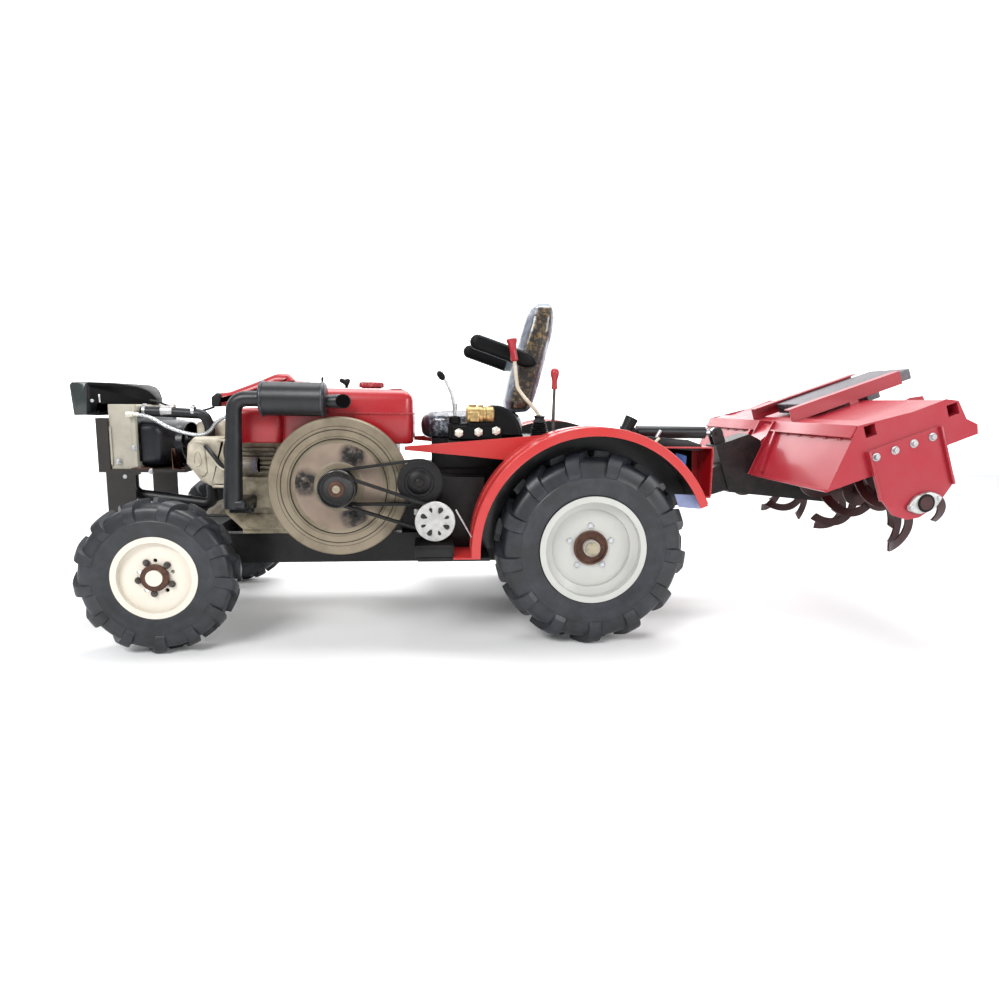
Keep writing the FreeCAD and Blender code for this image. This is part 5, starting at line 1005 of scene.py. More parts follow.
# %% Head and block
head_side = rounded([(-1503, 632), (-1496, 706), (-1470, 735), (-1356, 735), (-1356, 545),
                     (-1414, 545), (-1452, 566), (-1478, 600)], [14, 20, 20, 4, 4, 10, 14, 16])
head = [loft(head_side, soft_edges(-214, 200, 12, 4), "XZ")]
boss = rounded([(-1494, 636), (-1488, 700), (-1464, 722), (-1430, 716), (-1424, 600),
                (-1444, 578), (-1474, 606)], 14)
head.append(loft(boss, soft_edges(-220, -206, 6, 3), "XZ"))
drop = np.linspace(0, 2 * math.pi, 40)
drop_path = np.stack([-1458 + (9 + 7 * (1 - np.cos(drop)) / 2) * np.sin(drop),
                      np.full(40, -221.0), 652 + 27 * np.cos(drop)], 1)
head.append(tube(drop_path, 1.8, 8))
head.append(block((-1492, -120, 728), (-1372, 150, 790), 14, 22))
piece("cylinder_head_casting", head, pale_cream, replaces="cylinder_head",
      sharp=50)
ribs = [block((-1318, -256, z), (-1166, -238, z + 8), 3, 3) for z in range(604, 700, 17)]
ribs += [block((-1352, -250, 556), (-1330, -238, 716), 4, 5)]
side_cover = loft(rounded([(-1310, 470), (-1100, 470), (-1080, 560), (-1140, 590), (-1310, 590)],
                          18), soft_edges(-262, -238, 8, 3), "XZ")
sump = block((-1290, -246, 388), (-780, 246, 450), 12, 24)
piece("engine_ribs", ribs + [side_cover, sump] + [
    lathe([(-262, 150), (-258, 158), (-244, 166), (-238, 168)], (-912, 0, 570), "Y", 72),
    block((-1352, 225, 560), (-1180, 262, 700), 8, 12),
    lathe([(-258, 18), (-256, 24), (-238, 26)], (-1330, 0, 640), "Y", 28)], cast_cream,
      sharp=50)
filter_can = lathe([(-1288, 12), (-1288, 24), (-1283, 28), (-1240, 28), (-1236, 31), (-1226, 31),
                    (-1222, 26)], (0, -272, 634), "X", 36)
# A paler, more metallic black for the muffler's seams: a painted highlight.
seam_highlight_black = substance("Black rim with painted highlight", "#4A4E55", "#20242A", metallic=0.5, rough=0.3,
                       grain_mm=1.2, stain_mm=14, amount=0.8)
# Near black, used for soot in the exhaust's mouth and for painted shade inside the hitch box.
soot_and_shade_black = substance("Soot and painted shade", "#050505", "#0D0C0B", rough=0.9, grain_mm=2.0, gloss=0.1)
glossy_black = substance("Glossy black pulley enamel", "#0A0A0B", "#2A2622", rough=0.2,
                         grain_mm=1.2, bump=0.05, stain_mm=16, amount=0.5, coat=0.3)
grey_violet = substance("Grey-violet filter paint", "#7C7682", "#5C5560", metallic=0.2,
                        rough=0.35, grain_mm=1.5, stain_mm=20)
piece("oil_filter", [filter_can, block((-1262, -262, 640), (-1246, -238, 656), 2, 3)],
      grey_violet)
manifold = [block((-1348, -300, 470), (-1236, -236, 522), 10, 14),
            block((-1336, -282, 454), (-1250, -240, 478), 6, 10),
            block((-1300, -426, 488), (-1236, -280, 524), 12, 16)]
piece("exhaust_manifold", manifold, hot_black)
print(len(ribs), "ribs on the block")

# %% [markdown]
# The pipe narrows from 66 to 54 mm as it climbs to the drum. The drum is turned, with a
# rolled seam at each end, and its tail is cut at a slant.

# %% Exhaust pipe and muffler
DRUM, TAIL = (0, -395, 880), (0, -395, 874)
can = [(-1178, 30), (-1178, 52), (-1175, 58), (-1170, 60), (-1160, 59.5), (-970, 59.5),
       (-967, 60), (-962, 61), (-956, 59), (-952, 54), (-951, 40)]
pipe_path = eased([(-1286, -395, 492), (-1281, -395, 600), (-1276, -395, 700),
                   (-1272, -395, 790), (-1268, -395, 878), (-1172, -395, 880)], 4)
pipe_radius = np.interp(pipe_path[:, 2], [520, 820], [33, 27])


def slashed(points):
    """The tail is cut off at a slant: X moves with Y - Y0, more towards the end."""
    points = np.array(points, float)
    points[..., 0] += np.clip((points[..., 0] + 951) / 58, 0, 1) * (points[..., 1] + 395) * 0.95
    return at(points)


tail_hole = lathe([(-925, 8), (-900, 22), (-893, 23.5), (-893, 26), (-900, 25.5), (-930, 23),
                   (-951, 22), (-951, 8)], TAIL, "X", 36, slashed, ring=True)
tab = rounded([(-967, 936), (-961, 936), (-960, 956), (-964, 960), (-968, 954)], 2)
piece("muffler_drum", [lathe(can, DRUM, "X", 72), tube(pipe_path, pipe_radius, 28),
                       loft(tab, soft_edges(-398, -388, 1, 2), "XZ"), tail_hole], hot_black,
      replaces="muffler", sharp=45)
# The rolled seams are paler grey than the drum: a painted highlight along each seam.
rim_bands = [lathe([(x, 60.3), (x + 1.5, 63.5), (x + 6, 63.5), (x + 8, 60.3)],
                   DRUM, "X", 72) for x in (-1172, -966)]
piece("muffler_seams", rim_bands, seam_highlight_black)
# The dark cone in the tail's mouth is soot and painted shade, in place of the pipe's dark inside.
piece("tail_soot_and_shade", lathe([(-926, 6), (-901, 22.2), (-893.4, 23.4)], TAIL, "X", 32,
                         slashed), soot_and_shade_black)
print("engine castings and exhaust")

# %% [markdown]
# ## Flywheel and drives
# The flywheel is turned iron: a broad plain rim, fine grooves where the tool stepped, a primed
# web with three deep pockets, and a stack of V-belt pulleys at its nose.

# %% Flywheel
fly = (-912, 0, 570)
# This dark steel colours the real nuts and also the rings of painted shade in the flywheel's grooves.
oily_steel_and_shade = substance("Oily dark steel and painted groove shade", "#1A1613", "#0B0A09", metallic=0.4, rough=0.35,
                       grain_mm=3.0, stain_mm=10, amount=0.7)
shadow = substance("Shaded aluminium pocket", "#14110F", "#2A241E", rough=0.6, grain_mm=3,
                   stain_mm=20)
rim_profile = [(-352, 249), (-353, 250), (-404, 250), (-409, 246), (-410, 240), (-410, 207),
               (-408.5, 206), (-408.5, 203.5), (-410, 202.5), (-410, 182), (-407, 181),
               (-407, 178), (-409, 177), (-409, 174), (-404, 170), (-402, 166), (-401, 150),
               (-401, 96), (-404, 90), (-409, 84), (-409, 60), (-409, 44), (-352, 44)]
flywheel_skin = lathe(rim_profile, fly, "Y", 180, ring=True)
back = lathe([(-236, 27), (-352, 27), (-352, 60), (-405, 60)], fly, "Y", 40)
piece("flywheel_turned", [flywheel_skin, back], flywheel_iron, on="flywheel",
      replaces="flywheel", sharp=30)


def darkened_round_spots(name, colour, stain, dark_hex, spots, core_mm, halo_mm):
    """Painted iron darkened round each spot: the dark is strongest at its core and fades with
    distance, broken up by noise. Where spots overlap, the highest of them counts."""
    finish, tree, where = blank_finish(name)
    blotchy = noise(tree, where, 22, 5.0, 0.65)
    most = None
    for spot in spots:
        far = add(tree, "VectorMath", {0: where, 1: tuple(spot)}, operation="DISTANCE")
        shade = spread(tree, far.outputs["Value"], halo_mm / 1000, core_mm / 1000,
                       interpolation_type="SMOOTHSTEP")
        most = maths(tree, "MAXIMUM", most, shade) if most else shade
    darkening = maths(tree, "MULTIPLY", most, spread(tree, blotchy, 0.3, 0.62, 0.45, 1.35),
                  use_clamp=True)
    blot = spread(tree, noise(tree, where, 90, 3.0), 0.4, 0.7, 0.0, 0.6)
    close_finish(tree, {
        "Base Color": mixed(tree, darkening, mixed(tree, blot, colour, stain), dark_hex),
        "Roughness": spread(tree, blotchy, 0.0, 1.0, 0.36, 0.56), "Metallic": 0.15,
        "Normal": bumped(tree, noise(tree, where, 2.4, 2.0), 0.25, 0.0006)})
    return finish


bosses, knobs, spots = [], [], []
for degrees in (65.8, 173.6, 296):
    a = math.radians(degrees)
    x, z = -912 + 120 * math.cos(a), 570 + 120 * math.sin(a)
    spots.append(at([x, -402, z]))
    bosses.append(lathe([(-400, 24), (-403, 20), (-405, 13), (-405.4, 6)], (x, 0, z), "Y", 24))
    knobs += hexes([(x + 4, -404, z - 3)], LEFT, 15, 4, 1.0)
# The web is darker round the three pockets and round the hub, most at each middle.
web_iron_dark_spots = darkened_round_spots("Primed iron darkened round the pockets", "#8C7B6C", "#6B5B4E", "#0E0B09",
                         spots + [at([-912, -402, 570])], 26, 62)
piece("flywheel_bosses", bosses, web_iron_dark_spots, on="flywheel")
piece("flywheel_knobs", knobs, oily_steel_and_shade, on="flywheel")
web_face = lathe([(-401.4, 165), (-401.4, 96), (-404.2, 90.5), (-404.2, 88), (-401, 94),
                  (-400.8, 165)], fly, "Y", 120, ring=True)
piece("flywheel_web_paint", web_face, web_iron_dark_spots, on="flywheel")
# Thin dark rings proud of the turned grooves are painted shade: the grooves look dark because shade falls in them.
groove_shade_rings = [lathe([(-409.6, r - 0.9), (-410.6, r - 0.5), (-410.6, r + 0.5), (-409.6, r + 0.9)],
                    fly, "Y", 180, ring=True) for r in (217, 204)]
groove_shade_rings.append(lathe([(-406.5, 170.2), (-409.6, 171.2), (-409.6, 173.2), (-406.5, 172.4)],
                        fly, "Y", 180, ring=True))
piece("flywheel_groove_painted_shade", groove_shade_rings, oily_steel_and_shade, on="flywheel")
print("flywheel with", len(spots), "darkened pockets")

# %% [markdown]
# A pulley for V-belts is a lathe profile: each groove falls to its bottom between two rims.

# %% Pulleys
def vee_pulley(centre, grooves, radius, deep, bore):
    """Rims and grooves along Y: each groove drops by its depth between two rims."""
    profile = []
    for start, end in grooves:
        bottom = (start + end) / 2
        profile += [(start, radius - 3), (start + 1, radius), (start + 6, radius),
                    (bottom - 4, radius - deep), (bottom + 4, radius - deep),
                    (end - 6, radius), (end - 1, radius), (end, radius - 3)]
    start, end = grooves[0][0], grooves[-1][1]
    face = [(start + 2, bore + 14), (start + 8, bore + 12), (start + 10, bore)]
    profile = face[::-1] + profile + [(end, bore)]
    return lathe(profile, centre, "Y", 72)


piece("crank_pulley_turned", vee_pulley(fly, [(-490, -450), (-450, -411)], 66, 9, 46),
      glossy_black, on="flywheel", replaces="crank_pulley")
piece("crank_hub", lathe([(-470, 46), (-472, 40), (-474, 30), (-484, 28), (-486, 24), (-486, 12),
                          (-470, 12)], fly, "Y", 48), rusty_bore,
      on="flywheel")
piece("crank_nut", hexes([(-912, -485, 570)], LEFT, 24, 6, 1.1) + [
    lathe([(-490, 5), (-496, 5), (-497, 3)], fly, "Y", 16)], cast_cream,
      on="flywheel")
clutch = (-625, 0, 590)
piece("clutch_pulley_turned", [
    vee_pulley(clutch, [(-450, -411)], 79, 10, 40),
    lathe([(-449, 16), (-446, 38), (-440, 44), (-380, 44), (-372, 30), (-180, 16)], clutch, "Y",
          48)], matt_black, on="clutch_pulley", replaces="clutch_pulley")
piece("clutch_nut", hexes([(-625, -449, 590)], LEFT, 26, 7), oily_steel_and_shade,
      on="clutch_pulley")
print("crank and clutch pulleys")

# %% [markdown]
# The alternator's pulley is a pressed aluminium disc with eight drop-shaped windows. Each window
# is a shallow dark well with a raised edge, set a hair in front of the disc.

# %% Alternator
dynamo = (-569, 0, 457)
disc = [(-488, 16), (-488, 59), (-492, 68), (-497, 71.5), (-500, 70), (-499.5, 66),
        (-498, 63), (-498.5, 28), (-500, 23), (-500, 8)]
wells, edges = [], []
for k in range(8):
    a = k * math.pi / 4 + 0.35
    long, wide = (13, 9) if k % 2 else (10, 6)
    t = round_turn(28)
    along = 43 + long * np.cos(t)
    aside = wide * np.sin(t) * (1 + 0.45 * np.cos(t))
    shape = np.stack([-569 + along * math.cos(a) - aside * math.sin(a),
                      457 + along * math.sin(a) + aside * math.cos(a)], 1)
    wells.append(loft(shape, [(-499.2, 0.5), (-498.2, 0)], "XZ"))
    edges.append(tube(np.stack([np.append(shape[:, 0], shape[0, 0]), np.full(29, -499.0),
                                np.append(shape[:, 1], shape[0, 1])], 1), 1.0, 6))
piece("alternator_fan_disc", [lathe(disc, dynamo, "Y", 80)] + edges +
      hexes([(-569, -499, 457)], LEFT, 20, 0.5), cast_aluminium,
      on="alternator_pulley", replaces="alternator_pulley")
piece("alternator_fan_windows", wells, shadow, on="alternator_pulley")
piece("alternator_groove", vee_pulley(dynamo, [(-488, -452)], 44, 8, 15), matt_black,
      on="alternator_pulley")
shell = [(-446, 30), (-446, 52), (-442, 56), (-428, 56), (-426, 53), (-392, 53), (-390, 56),
         (-376, 56), (-372, 50), (-372, 18), (-446, 18)]
lugs = [block((-645, -432, 470), (-609, -418, 492), 2, 6),
        block((-585, -440, 376), (-553, -396, 412), 3, 6)]
piece("alternator_body", [lathe(shell, dynamo, "Y", 56, ring=True)] + lugs, cast_aluminium,
      replaces="alternator")
piece("alternator_stand", block((-642, -529, 333), (-502, -372, 375), 3, 4), black_enamel)
strap = rounded([(-642, 575), (-628, 583), (-588, 506), (-560, 476), (-572, 466), (-606, 498)], 5)
piece("alternator_strap", [loft(strap, soft_edges(-408, -402, 1, 2), "XZ"),
                           tube([(-496, -500, 500), (-440, -505, 402)], 3, 10)] +
      hexes([(-566, -409, 474), (-632, -409, 574)], LEFT, 14, 6), bright_zinc)
print(len(wells), "windows in the alternator's disc")

# %% [markdown]
# ## Wheels
# The rims are turned in CAD. Here they get what a fitter adds: studs and nuts, a hub with its
# greased bore, and a hex nut on the front spindle. The rear studs stand 81.5 mm from their
# hub's axis and the front nuts 58 mm from theirs.

# %% Hubs and studs
REAR_HUB, FRONT_HUB = (0, 0, 355), (-1520, 0, 270)
STUD_RADIUS, NUT_RADIUS = 81.5, 58
for hand, side in (("left", -1), ("right", 1)):
    def hand_side(surfaces, side=side):
        """Surfaces drawn for the left wheel, on the side of this one."""
        return surfaces if side < 0 else mirrored(surfaces)
    fifths = round_turn(5) + math.pi / 2
    rear_spots = [(REAR_HUB[0] + STUD_RADIUS * math.cos(a), 0,
                   REAR_HUB[2] + STUD_RADIUS * math.sin(a)) for a in fifths]
    bore = lathe([(-480, 61), (-482, 64), (-486, 64), (-487, 61), (-487, 57), (-474, 54),
                  (-474, 20)], REAR_HUB, "Y", 56)
    axle_end = lathe([(-474, 27), (-512, 27), (-516, 23), (-517, 10)], REAR_HUB, "Y", 32)
    piece(f"rear_{hand}_hub_bore", hand_side([bore]), rusty_bore,
          on=f"rear_{hand}_rim")
    piece(f"rear_{hand}_axle_end", hand_side([axle_end]), cast_cream,
          on=f"rear_{hand}_rim")
    studs = [lathe([(-477, 11), (-479, 11), (-479.5, 8.5), (-476, 8)], spot, "Y", 20)
             for spot in rear_spots]
    piece(f"rear_{hand}_studs", hand_side(studs), bright_zinc,
          on=f"rear_{hand}_rim")
    front_spots = [(FRONT_HUB[0] + NUT_RADIUS * math.cos(a + 0.5), -506.0,
                    FRONT_HUB[2] + NUT_RADIUS * math.sin(a + 0.5)) for a in fifths]
    piece(f"front_{hand}_wheel_nuts", hand_side(hexes(front_spots, LEFT, 17, 7, stud=7)),
          steel_scale, on=f"front_{hand}_rim")
    hub = lathe([(-505, 44), (-510, 47), (-517, 47), (-520, 43), (-520, 30), (-516, 28),
                 (-516, 10)], FRONT_HUB, "Y", 56)
    piece(f"front_{hand}_hub", hand_side([hub]), rusty_bore,
          on=f"front_{hand}_rim")
    piece(f"front_{hand}_hub_nut", hand_side(
        hexes([(FRONT_HUB[0], -515, FRONT_HUB[2])], LEFT, 34, 5) +
        [lathe([(-516, 10), (-523, 10), (-523.8, 7)], FRONT_HUB, "Y", 20)]), cast_cream,
          on=f"front_{hand}_rim")
print("hubs, studs and nuts on four wheels")

# %% [markdown]
# ## Fender edges
# The arches are thin sheet with a wired edge: the rim of the sheet is rolled round a wire, so a
# bead runs along it. A crease a little further in stiffens the top.

# %% Wired edges
sweep = np.radians(np.linspace(23, 182, 80))


def arch(radius, y):
    """A path over the rear wheel at a radius and a distance from the machine's middle."""
    return np.stack([radius * np.cos(sweep), np.full(80, y), 355 + radius * np.sin(sweep)], 1)


wing_edge = tube([(-664, -362, 713), (-440, -362, 726), (-160, -362, 757)], 3.5, 10)
fender_trim = [tube(arch(440, -553.0), 3.4, 10), tube(arch(413, -553.0), 2.6, 10),
               tube(arch(440.5, -455.0), 2.2, 8), wing_edge]
print("wired edges along", len(sweep), "points")
piece("left_fender_bead", fender_trim, coral_enamel)
piece("right_fender_bead", mirrored(fender_trim), coral_enamel)
blue_sheet = substance("Blue-grey primer on sheet", "#8A93B8", "#6C7599", rough=0.45,
                       stain_mm=40)
flap = [(300, 556), (318, 508), (404, 500), (392, 540), (372, 552)]
piece("fender_flaps", both([slab(flap, -504, -500, "XZ", 1, 3)]), blue_sheet)

# %% [markdown]
# ## Seat
# A suspension seat still in its clear wrapping: vinyl over foam, a back that leans, and two
# moulded armrests that slope down to pins in the back.

# %% Seat pads
def pillow(rows, points=72, power=0.42):
    """Rings of a superellipse to the power given, centred on each row's centre.
    Each row is (height, x centre, y centre, half x, half y)."""
    rounded_x, rounded_y = superellipse(round_turn(points), power)
    rows = np.asarray(rows, float)
    rings = np.stack([rows[:, 1:2] + rows[:, 3:4] * rounded_x,
                      rows[:, 2:3] + rows[:, 4:5] * rounded_y,
                      np.broadcast_to(rows[:, :1], (len(rows), points))], -1)
    return skin(at(rings))
print("pillow ready")

# %% [markdown]
# Foam swells its cover a little more where the cover is free. A short run of cloth under
# pressure gives that swell, and a cap keeps the pad near its drawn size.

# %% Film-wrapped cushions
def film_wrap(name, reflection_hex, side_hex, fleck_hex, crease_highlight_hex):
    """Clear film pulled over cloth. The front and top of the cushion are painted with the film's
    reflection: a grey-blue colour, with painted highlights along thin creases where the noise
    crosses its middle value; its sides show the brown cloth with gold flecks below it. Which is
    which follows the size of the Y part of the object's own normal."""
    finish, tree, where = blank_finish(name)
    normal = add(tree, "TexCoord").outputs["Normal"]
    pulled = add(tree, "Mapping", {"Vector": where, "Scale": (2.2, 1.0, 0.55)})
    crease = noise(tree, pulled.outputs["Vector"], 110, 3.0, 0.5, 1.2)
    apart = maths(tree, "ABSOLUTE", maths(tree, "SUBTRACT", crease, 0.5))
    # Painted reflection on the face, mixed towards painted highlights along the creases.
    face = mixed(tree, spread(tree, apart, 0.004, 0.03, 0.22, 0.0), reflection_hex, crease_highlight_hex)
    golden = spread(tree, noise(tree, where, 17, 6.0, 0.7), 0.5, 0.64)
    on_side = spread(tree, off_middle(tree, normal), 0.62, 0.86)
    close_finish(tree, {
        "Base Color": mixed(tree, on_side, face, mixed(tree, golden, side_hex, fleck_hex)),
        "Roughness": 0.34, "Normal": bumped(tree, crease, 0.4, 0.012), "Coat Weight": 0.8,
        "Coat Roughness": 0.08})
    return finish


def puffed(name, surface, node, finish, cap_mm=9.0, rests=None):
    """A pad blown up a little, as foam fills its cover: voxel remesh at 6 mm, twenty frames of
    cloth under pressure without gravity, no point moved further than the cap or below what the
    pad rests on, and one subdivision."""
    pad = piece(name, surface, finish, replaces=node, sharp=180)

    def coordinates(mesh):
        """The vertices as rows of three."""
        flat = np.empty(len(mesh.vertices) * 3)
        mesh.vertices.foreach_get("co", flat)
        return flat.reshape(-1, 3)

    def evaluated():
        """A new mesh of the pad as its modifiers leave it."""
        graph = bpy.context.evaluated_depsgraph_get()
        return bpy.data.meshes.new_from_object(pad.evaluated_get(graph), depsgraph=graph)

    remesh = pad.modifiers.new("Remesh", "REMESH")
    remesh.mode, remesh.voxel_size, remesh.use_smooth_shade = "VOXEL", 0.006, True
    pad.data = evaluated()
    pad.modifiers.clear()
    before = coordinates(pad.data)
    cloth = pad.modifiers.new("Cloth", "CLOTH")
    cloth.settings.use_pressure = True
    cloth.settings.uniform_pressure_force = 4
    cloth.settings.effector_weights.gravity = 0
    cloth.point_cache.frame_start, cloth.point_cache.frame_end = 1, 20
    for frame_number in range(1, 21):
        bpy.context.scene.frame_set(frame_number)
    after = coordinates(evaluated())
    pad.modifiers.clear()
    bpy.context.scene.frame_set(1)
    move = after - before
    far = np.linalg.norm(move, axis=1)[:, None] + 1e-9
    after = before + move * np.minimum(1, cap_mm / 1000 / far)
    if rests is not None:
        after[:, 2] = np.maximum(after[:, 2], rests / 1000)
    pad.data.vertices.foreach_set("co", after.ravel())
    pad.data.update()
    rounder = pad.modifiers.new("Subdivision", "SUBSURF")
    rounder.levels = rounder.render_levels = 1
    pad.data = evaluated()
    pad.modifiers.clear()
    pad.data.shade_smooth()
    pad.data.materials.clear()
    pad.data.materials.append(finish)
    print(name, "moved", round(float(far.max()) * 1000, 1), "mm before the cap,",
          len(pad.data.polygons), "faces")


# The grey-blue face colours and the pale crease colours are painted reflection and painted highlights of the film;
# the brown, black and fleck colours are the cloth.
film_back = film_wrap("Film over brown and gold cloth", "#59626F", "#1D1712", "#7A6236",
                      "#C9D1DC")
film_seat = film_wrap("Film over black cloth", "#3A4049", "#1B1E24", "#8C95A3", "#DCE2EA")
seat_rows = [(737, -416, 0, 196, 184), (742, -416, 0, 208, 200), (762, -416, 0, 214, 208),
             (790, -416, 0, 215, 209), (808, -416, 0, 212, 207), (822, -416, 0, 204, 200),
             (832, -416, 0, 186, 182), (837, -416, 0, 150, 150), (838, -416, 0, 80, 80)]
puffed("seat_cushion_pad", pillow(seat_rows), "seat_cushion", film_seat, rests=736)
lean = [(838, -240, 0, 44, 178), (850, -238, 0, 52, 192), (880, -232, 0, 57, 198),
        (960, -212, 0, 60, 201), (1060, -187, 0, 60, 202), (1160, -161, 0, 58, 199),
        (1220, -148, 0, 53, 190), (1256, -138, 0, 44, 170), (1275, -133, 0, 31, 140),
        (1283, -130, 0, 14, 96)]
puffed("seat_back_pad", pillow(lean), "seat_backrest", film_back, cap_mm=6.0)


def capsule(path, half_wide, half_high, points=40):
    """Ellipses along a path in the XZ plane, shrunk towards both ends by a quarter circle."""
    path = np.asarray(path, float)
    s = np.linspace(0, 1, 25)
    spine = np.stack([np.interp(s, np.linspace(0, 1, len(path)), path[:, k]) for k in range(3)],
                     1)
    end = np.minimum(s, 1 - s) / 0.16
    scale = np.sqrt(1 - (1 - np.clip(end, 0.02, 1)) ** 2)
    tangent = unit(np.gradient(spine, axis=0))
    aside = np.array([0, 1.0, 0])
    up = np.cross(tangent, aside)
    cx, cz = superellipse(round_turn(points), 0.75)
    rings = spine[:, None] + scale[:, None, None] * (
        half_wide * cx[None, :, None] * aside + half_high * cz[None, :, None] * up[:, None])
    return skin(at(rings))


arm = capsule([(-434, -249, 1112), (-380, -249, 1095), (-300, -249, 1068),
               (-180, -249, 1026)], 23, 29)
pin = lathe([(-240, 14), (-205, 14)], (-203, 0, 1040), "Y", 24)
piece("armrest_pads", both([arm, pin]), moulded_black, replaces="armrests", sharp=60)
print("seat, back and armrests")

# %% [markdown]
# The gear lever leaves a rubber boot, bends forward and ends in a red grip. The valve beside
# it is a domed body with three hexagonal ports in a row.

# %% Levers and valve
gear_rod = tube(eased([(-168, -300, 800), (-168, -300, 832), (-256, -300, 925),
                       (-262, -300, 960), (-271, -300, 1042)], 3), 7, 14)
piece("gear_lever_rod", [gear_rod], pale_cream, replaces="control_levers")
grip_axes = basis([-0.16, 0, 0.987])
ball = lathe([(930, 9), (934, 11), (958, 10), (970, 12), (982, 15.5), (992, 17), (1002, 14.5),
              (1008, 9), (1010, 4)], (-116, -300, 0), "Z", 28)
piece("lever_grips", [lathe([(0, 11), (4, 14), (36, 13), (58, 14), (72, 19), (82, 20), (85, 14)],
                            (-270, -300, 1032), tuple(grip_axes), 28), ball], red_plastic)
piece("rear_lever_rod", tube([(-119, -300, 745), (-116, -300, 934)], [7, 5.5], 14), steel_scale)
folds = [(738, 46), (744, 46)] + [(746 + 7 * k + d, r - 1.6 * k) for k in range(9)
                                  for d, r in ((0, 32), (3.5, 40))] + [(812, 22), (820, 18),
                                                                       (828, 22), (832, 12)]
piece("gear_lever_boot", [lathe(folds, (-171, -300, 0), "Z", 40),
                          lathe([(737, 20), (752, 20), (758, 14)], (-117, -300, 0), "Z", 24),
                          block((-222, -340, 735), (-96, -262, 742), 2, 8)], hose_rubber)
silver_rod = tube(eased([(-493, -312, 800), (-496, -312, 880), (-518, -312, 936),
                         (-533, -312, 962)], 3), 5.5, 12)
knob_axes = basis((-0.6, 0, 0.8))
knob = lathe([(-18, 4), (-15, 9), (-5, 12.5), (8, 12.5), (16, 9), (20, 3)], (-545, -312, 973),
             tuple(knob_axes), 24)
piece("valve_lever_rod", [silver_rod, tube([(-490, -312, 812), (-506, -312, 900)], 4, 10),
                          lathe([(846, 9), (872, 9)], (-494, -312, 0), "Z", 20)], bright_zinc)
piece("valve_lever_knob", knob, moulded_black)
half_turn = np.linspace(0, math.pi, 33)
dome_side = np.stack([-345 + 108 * np.cos(half_turn), 742 + 126 * np.sin(half_turn)], 1)
dome = loft(dome_side, soft_edges(-330, -242, 16, 4), "XZ")
valve_bodies = [block((-505, -342, 738), (-318, -328, 790), 5, 6),
                block((-518, -330, 736), (-442, -246, 800), 6, 8),
                block((-446, -340, 788), (-352, -296, 804), 4, 5),
                lathe([(800, 22), (822, 22), (826, 16)], (-494, -312, 0), "Z", 28)]
piece("valve_dome", [dome] + valve_bodies, moulded_black,
      replaces="hydraulic_valve", sharp=50)
gold = [lathe([(-452, 10), (-452, 26), (-448, 31), (-392, 31), (-388, 27), (-380, 27),
               (-376, 31), (-352, 31), (-348, 26), (-348, 8)], (0, -318, 832), "X", 40),
        lathe([(858, 15), (868, 15), (870, 11)], (-428, -316, 0), "Z", 6),
        lathe([(858, 11), (866, 11), (868, 8)], (-398, -316, 0), "Z", 6),
        block((-440, -350, 806), (-404, -322, 842), 4, 6)]
piece("valve_fittings", gold, yellow_zinc)
ports = [surface for x, z in ((-480, 764), (-407, 768), (-341, 773)) for surface in (
    lathe([(-341, 17), (-350, 17), (-352, 14), (-352, 9), (-349, 8)], (x, 0, z), "Y", 6),
    lathe([(-344, 12), (-358, 11), (-360, 8)], (x, 0, z), "Y", 24))]
piece("valve_ports", ports, pale_zinc)
print("levers and valve")

# %% [markdown]
# ## Hitch and tiller
# The lower side plates are bolted on with four bolts in a rising line and carry the tine shaft
# in a two-bolt flange bearing.

# %% Tiller dressing
plate_y = -633.5
bolt_spots = [(x, plate_y, 217.5) for x in (-129, -56, 17, 90)]
piece("side_plate_bolts", both(hexes(bolt_spots, LEFT, 19, 9, 1.5, tilled)), bright_zinc,
      on="lower_side_plates")
flange_side = rounded([(-74, 0), (-30, 34), (30, 34), (74, 0), (30, -34), (-30, -34)],
                      [20, 40, 40, 20, 40, 40], 7)
flange = [loft(flange_side, soft_edges(-649, -634, 4, 3), "XZ", tilled),
          lathe([(-651, 20), (-653, 24), (-652, 32), (-640, 36)], (0, 0, 0), "Y", 40, tilled)]
piece("flange_bearings", both(flange), cast_aluminium, on="rotor_bearings",
      replaces="rotor_bearings", sharp=50)
piece("flange_bolts", both(hexes([(-54, -641, 0), (54, -641, 0)], LEFT, 17, 9, 1.4,
                                 tilled, 1)), bright_zinc, on="rotor_bearings")
piece("side_plate_folds", both([slab([(-158, 60), (-150, 58), (-150, 246), (-158, 246)], -646,
                                     -633, "XZ", 1.5, 2, tilled),
                                slab([(120, 28), (128, 30), (128, 246), (120, 246)], -646, -633,
                                     "XZ", 1.5, 2, tilled)]), tiller_red,
      on="lower_side_plates")
print(len(bolt_spots), "bolts in each side plate")

# %% [markdown]
# The hood's front sheet slopes, so its strips and welds are given as places on the sheet: the
# distance from the middle, the share of the way up, and the height above the sheet.

# %% Hood pressings
def on_front(points):
    """Places on the sloping front sheet, in the tiller's level drawing, of points given as
    (Y, share of the way up, height above the sheet)."""
    y, share, off = np.moveaxis(np.asarray(points, float), -1, 0)
    low, high = np.array([-332.0, 154.0]), np.array([-160.0, 344.0])
    run = high - low
    out = np.array([-run[1], run[0]]) / np.hypot(*run)
    spot = low + share[..., None] * run + off[..., None] * out
    return np.stack([spot[..., 0], y, spot[..., 1]], -1)


def front_slab(corners, thick):
    """A flat strip on the front sheet, its corners given as (Y, share up)."""
    corners = np.asarray(corners, float)
    centre = corners.mean(0)
    rings = []
    for height, shrink in ((0, 1.0), (thick - 1.5, 1.0), (thick, 0.985)):
        flat = centre + (corners - centre) * shrink
        rings.append(tilled(on_front(np.column_stack([flat, np.full(len(flat), height)]))))
    return skin(np.array(rings))


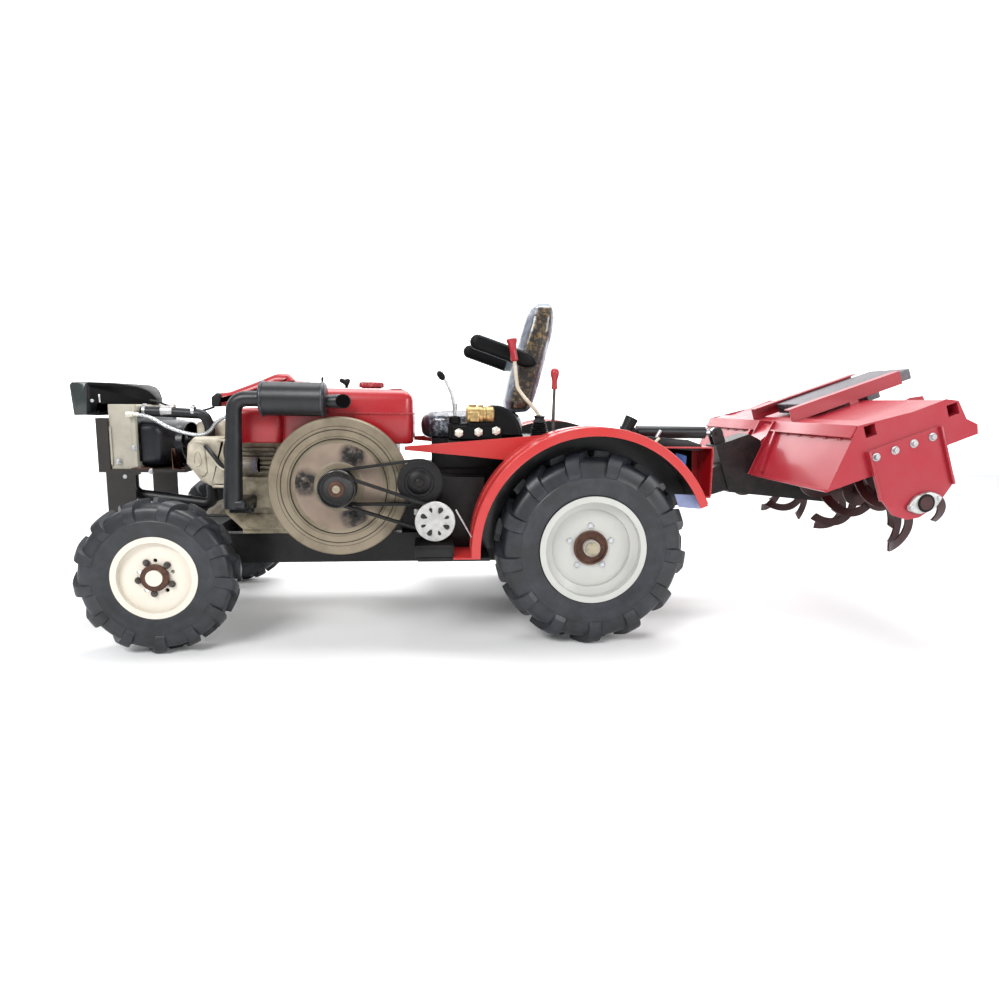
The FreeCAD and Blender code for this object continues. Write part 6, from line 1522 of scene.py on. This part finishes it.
strips, welds = [], []
for side in (-1, 1):
    strips.append(front_slab([(side * 622, 0.82), (side * 66, 0.82), (side * 66, 0.995),
                              (side * 622, 0.995)], 7))
    strips.append(front_slab([(side * 622, 0.80), (side * 66, 0.80), (side * 66, 0.83),
                              (side * 622, 0.83)], 15))
    strips.append(front_slab([(side * 150, 0.10), (side * 138, 0.10), (side * 104, 0.80),
                              (side * 118, 0.80)], 16))
    strips.append(front_slab([(side * 622, 0.0), (side * 66, 0.0), (side * 66, 0.035),
                              (side * 622, 0.035)], 9))
    for y in (180, 270, 360, 450, 540):
        path = [(side * (y + step * 7), 0.79 - 0.012 * (step % 2), 1.5) for step in range(5)]
        welds.append(tube(on_front(path), 3, 6, tilled))
piece("hood_front_strips", strips, tiller_red, on="tiller_hood")
piece("hood_weld_beads", welds, tiller_red, on="tiller_hood")
print(len(strips), "strips and", len(welds), "weld beads")

# %% [markdown]
# The mast is a folded channel: a top with two short sides turned down.

# %% Mast plate
mast_outline = [(-130, 338), (-125, 338), (-125, 377), (125, 377), (125, 338), (130, 338),
                (130, 382), (-130, 382)]
mast_start, mast_end = -43, 427
plate = loft(rounded(mast_outline, 2.0, 3), soft_edges(mast_start, mast_end, 1.5, 2), "YZ",
             tilled)
hanger_plate = block((262, -60, 290), (322, 60, 378), 2, 4, "XY", tilled)
piece("mast_plate", [plate, hanger_plate], mast_grey, on="mast_channel",
      replaces="mast_channel")
print("mast plate", mast_end - mast_start, "mm long")

# %% [markdown]
# Last come the small parts round the hitch: a handle, a filler stub, links, nuts and a tag.

# %% Hitch and lift details
loop = tube(eased([(47, -100, 736), (45, -100, 764), (62, -100, 778), (104, -100, 776),
                   (121, -100, 764), (120, -100, 736)], 3), 6, 12)
piece("lift_handle", loop, hard_chrome)
neck = tube([(205, -100, 730), (232, -100, 780), (252, -100, 822)], [24, 25, 28], 28)
piece("filler_stub", neck, matt_black)
piece("lift_link", tube([(330, -120, 700), (372, -120, 772)], 7, 12), bright_zinc)
dark_ring = lathe([(-652.5, 21), (-654, 23), (-654, 31), (-652.5, 33)], (0, 0, 0), "Y", 40,
                  tilled, ring=True)
piece("bearing_seals", both([dark_ring]), moulded_black, on="rotor_bearings")
end_nut = hexes([(0, -649, 0)], LEFT, 30, 3.4, 1.0, tilled)
piece("shaft_end_nuts", both(end_nut), pale_zinc, on="tine_rotor")
arm_side = [(262, 736), (288, 750), (460, 738), (520, 718), (520, 694), (470, 694), (340, 706),
            (262, 712)]
piece("lift_arm_plate", slab(arm_side, -200, -190, "XZ", 2, 6), black_enamel)
# A black sheet inside the hitch box is painted shade: the open inside of the box is dark from shade.
piece("hitch_painted_shade_sheet", slab([(318, 510), (528, 510), (520, 702), (318, 702)], -96, -87.5, "XZ",
                          1, 4), soot_and_shade_black)
top_edge = [(330, -231, 708.5), (548, -231, 708.5), (555.5, -231, 701), (555.5, -231, 510)]
piece("hitch_top_edge", tube(top_edge, 2.6, 8), coral_enamel)
piece("hitch_rod", tube([(282, -246, 704), (326, -236, 746)], 5.5, 12), pale_cream)
piece("hitch_tag_plate", slab([(424, 628), (474, 606), (476, 668), (428, 682)], -156, -150,
                              "XZ", 1, 3), tag_blue)
print("bearings, bolts and hitch")
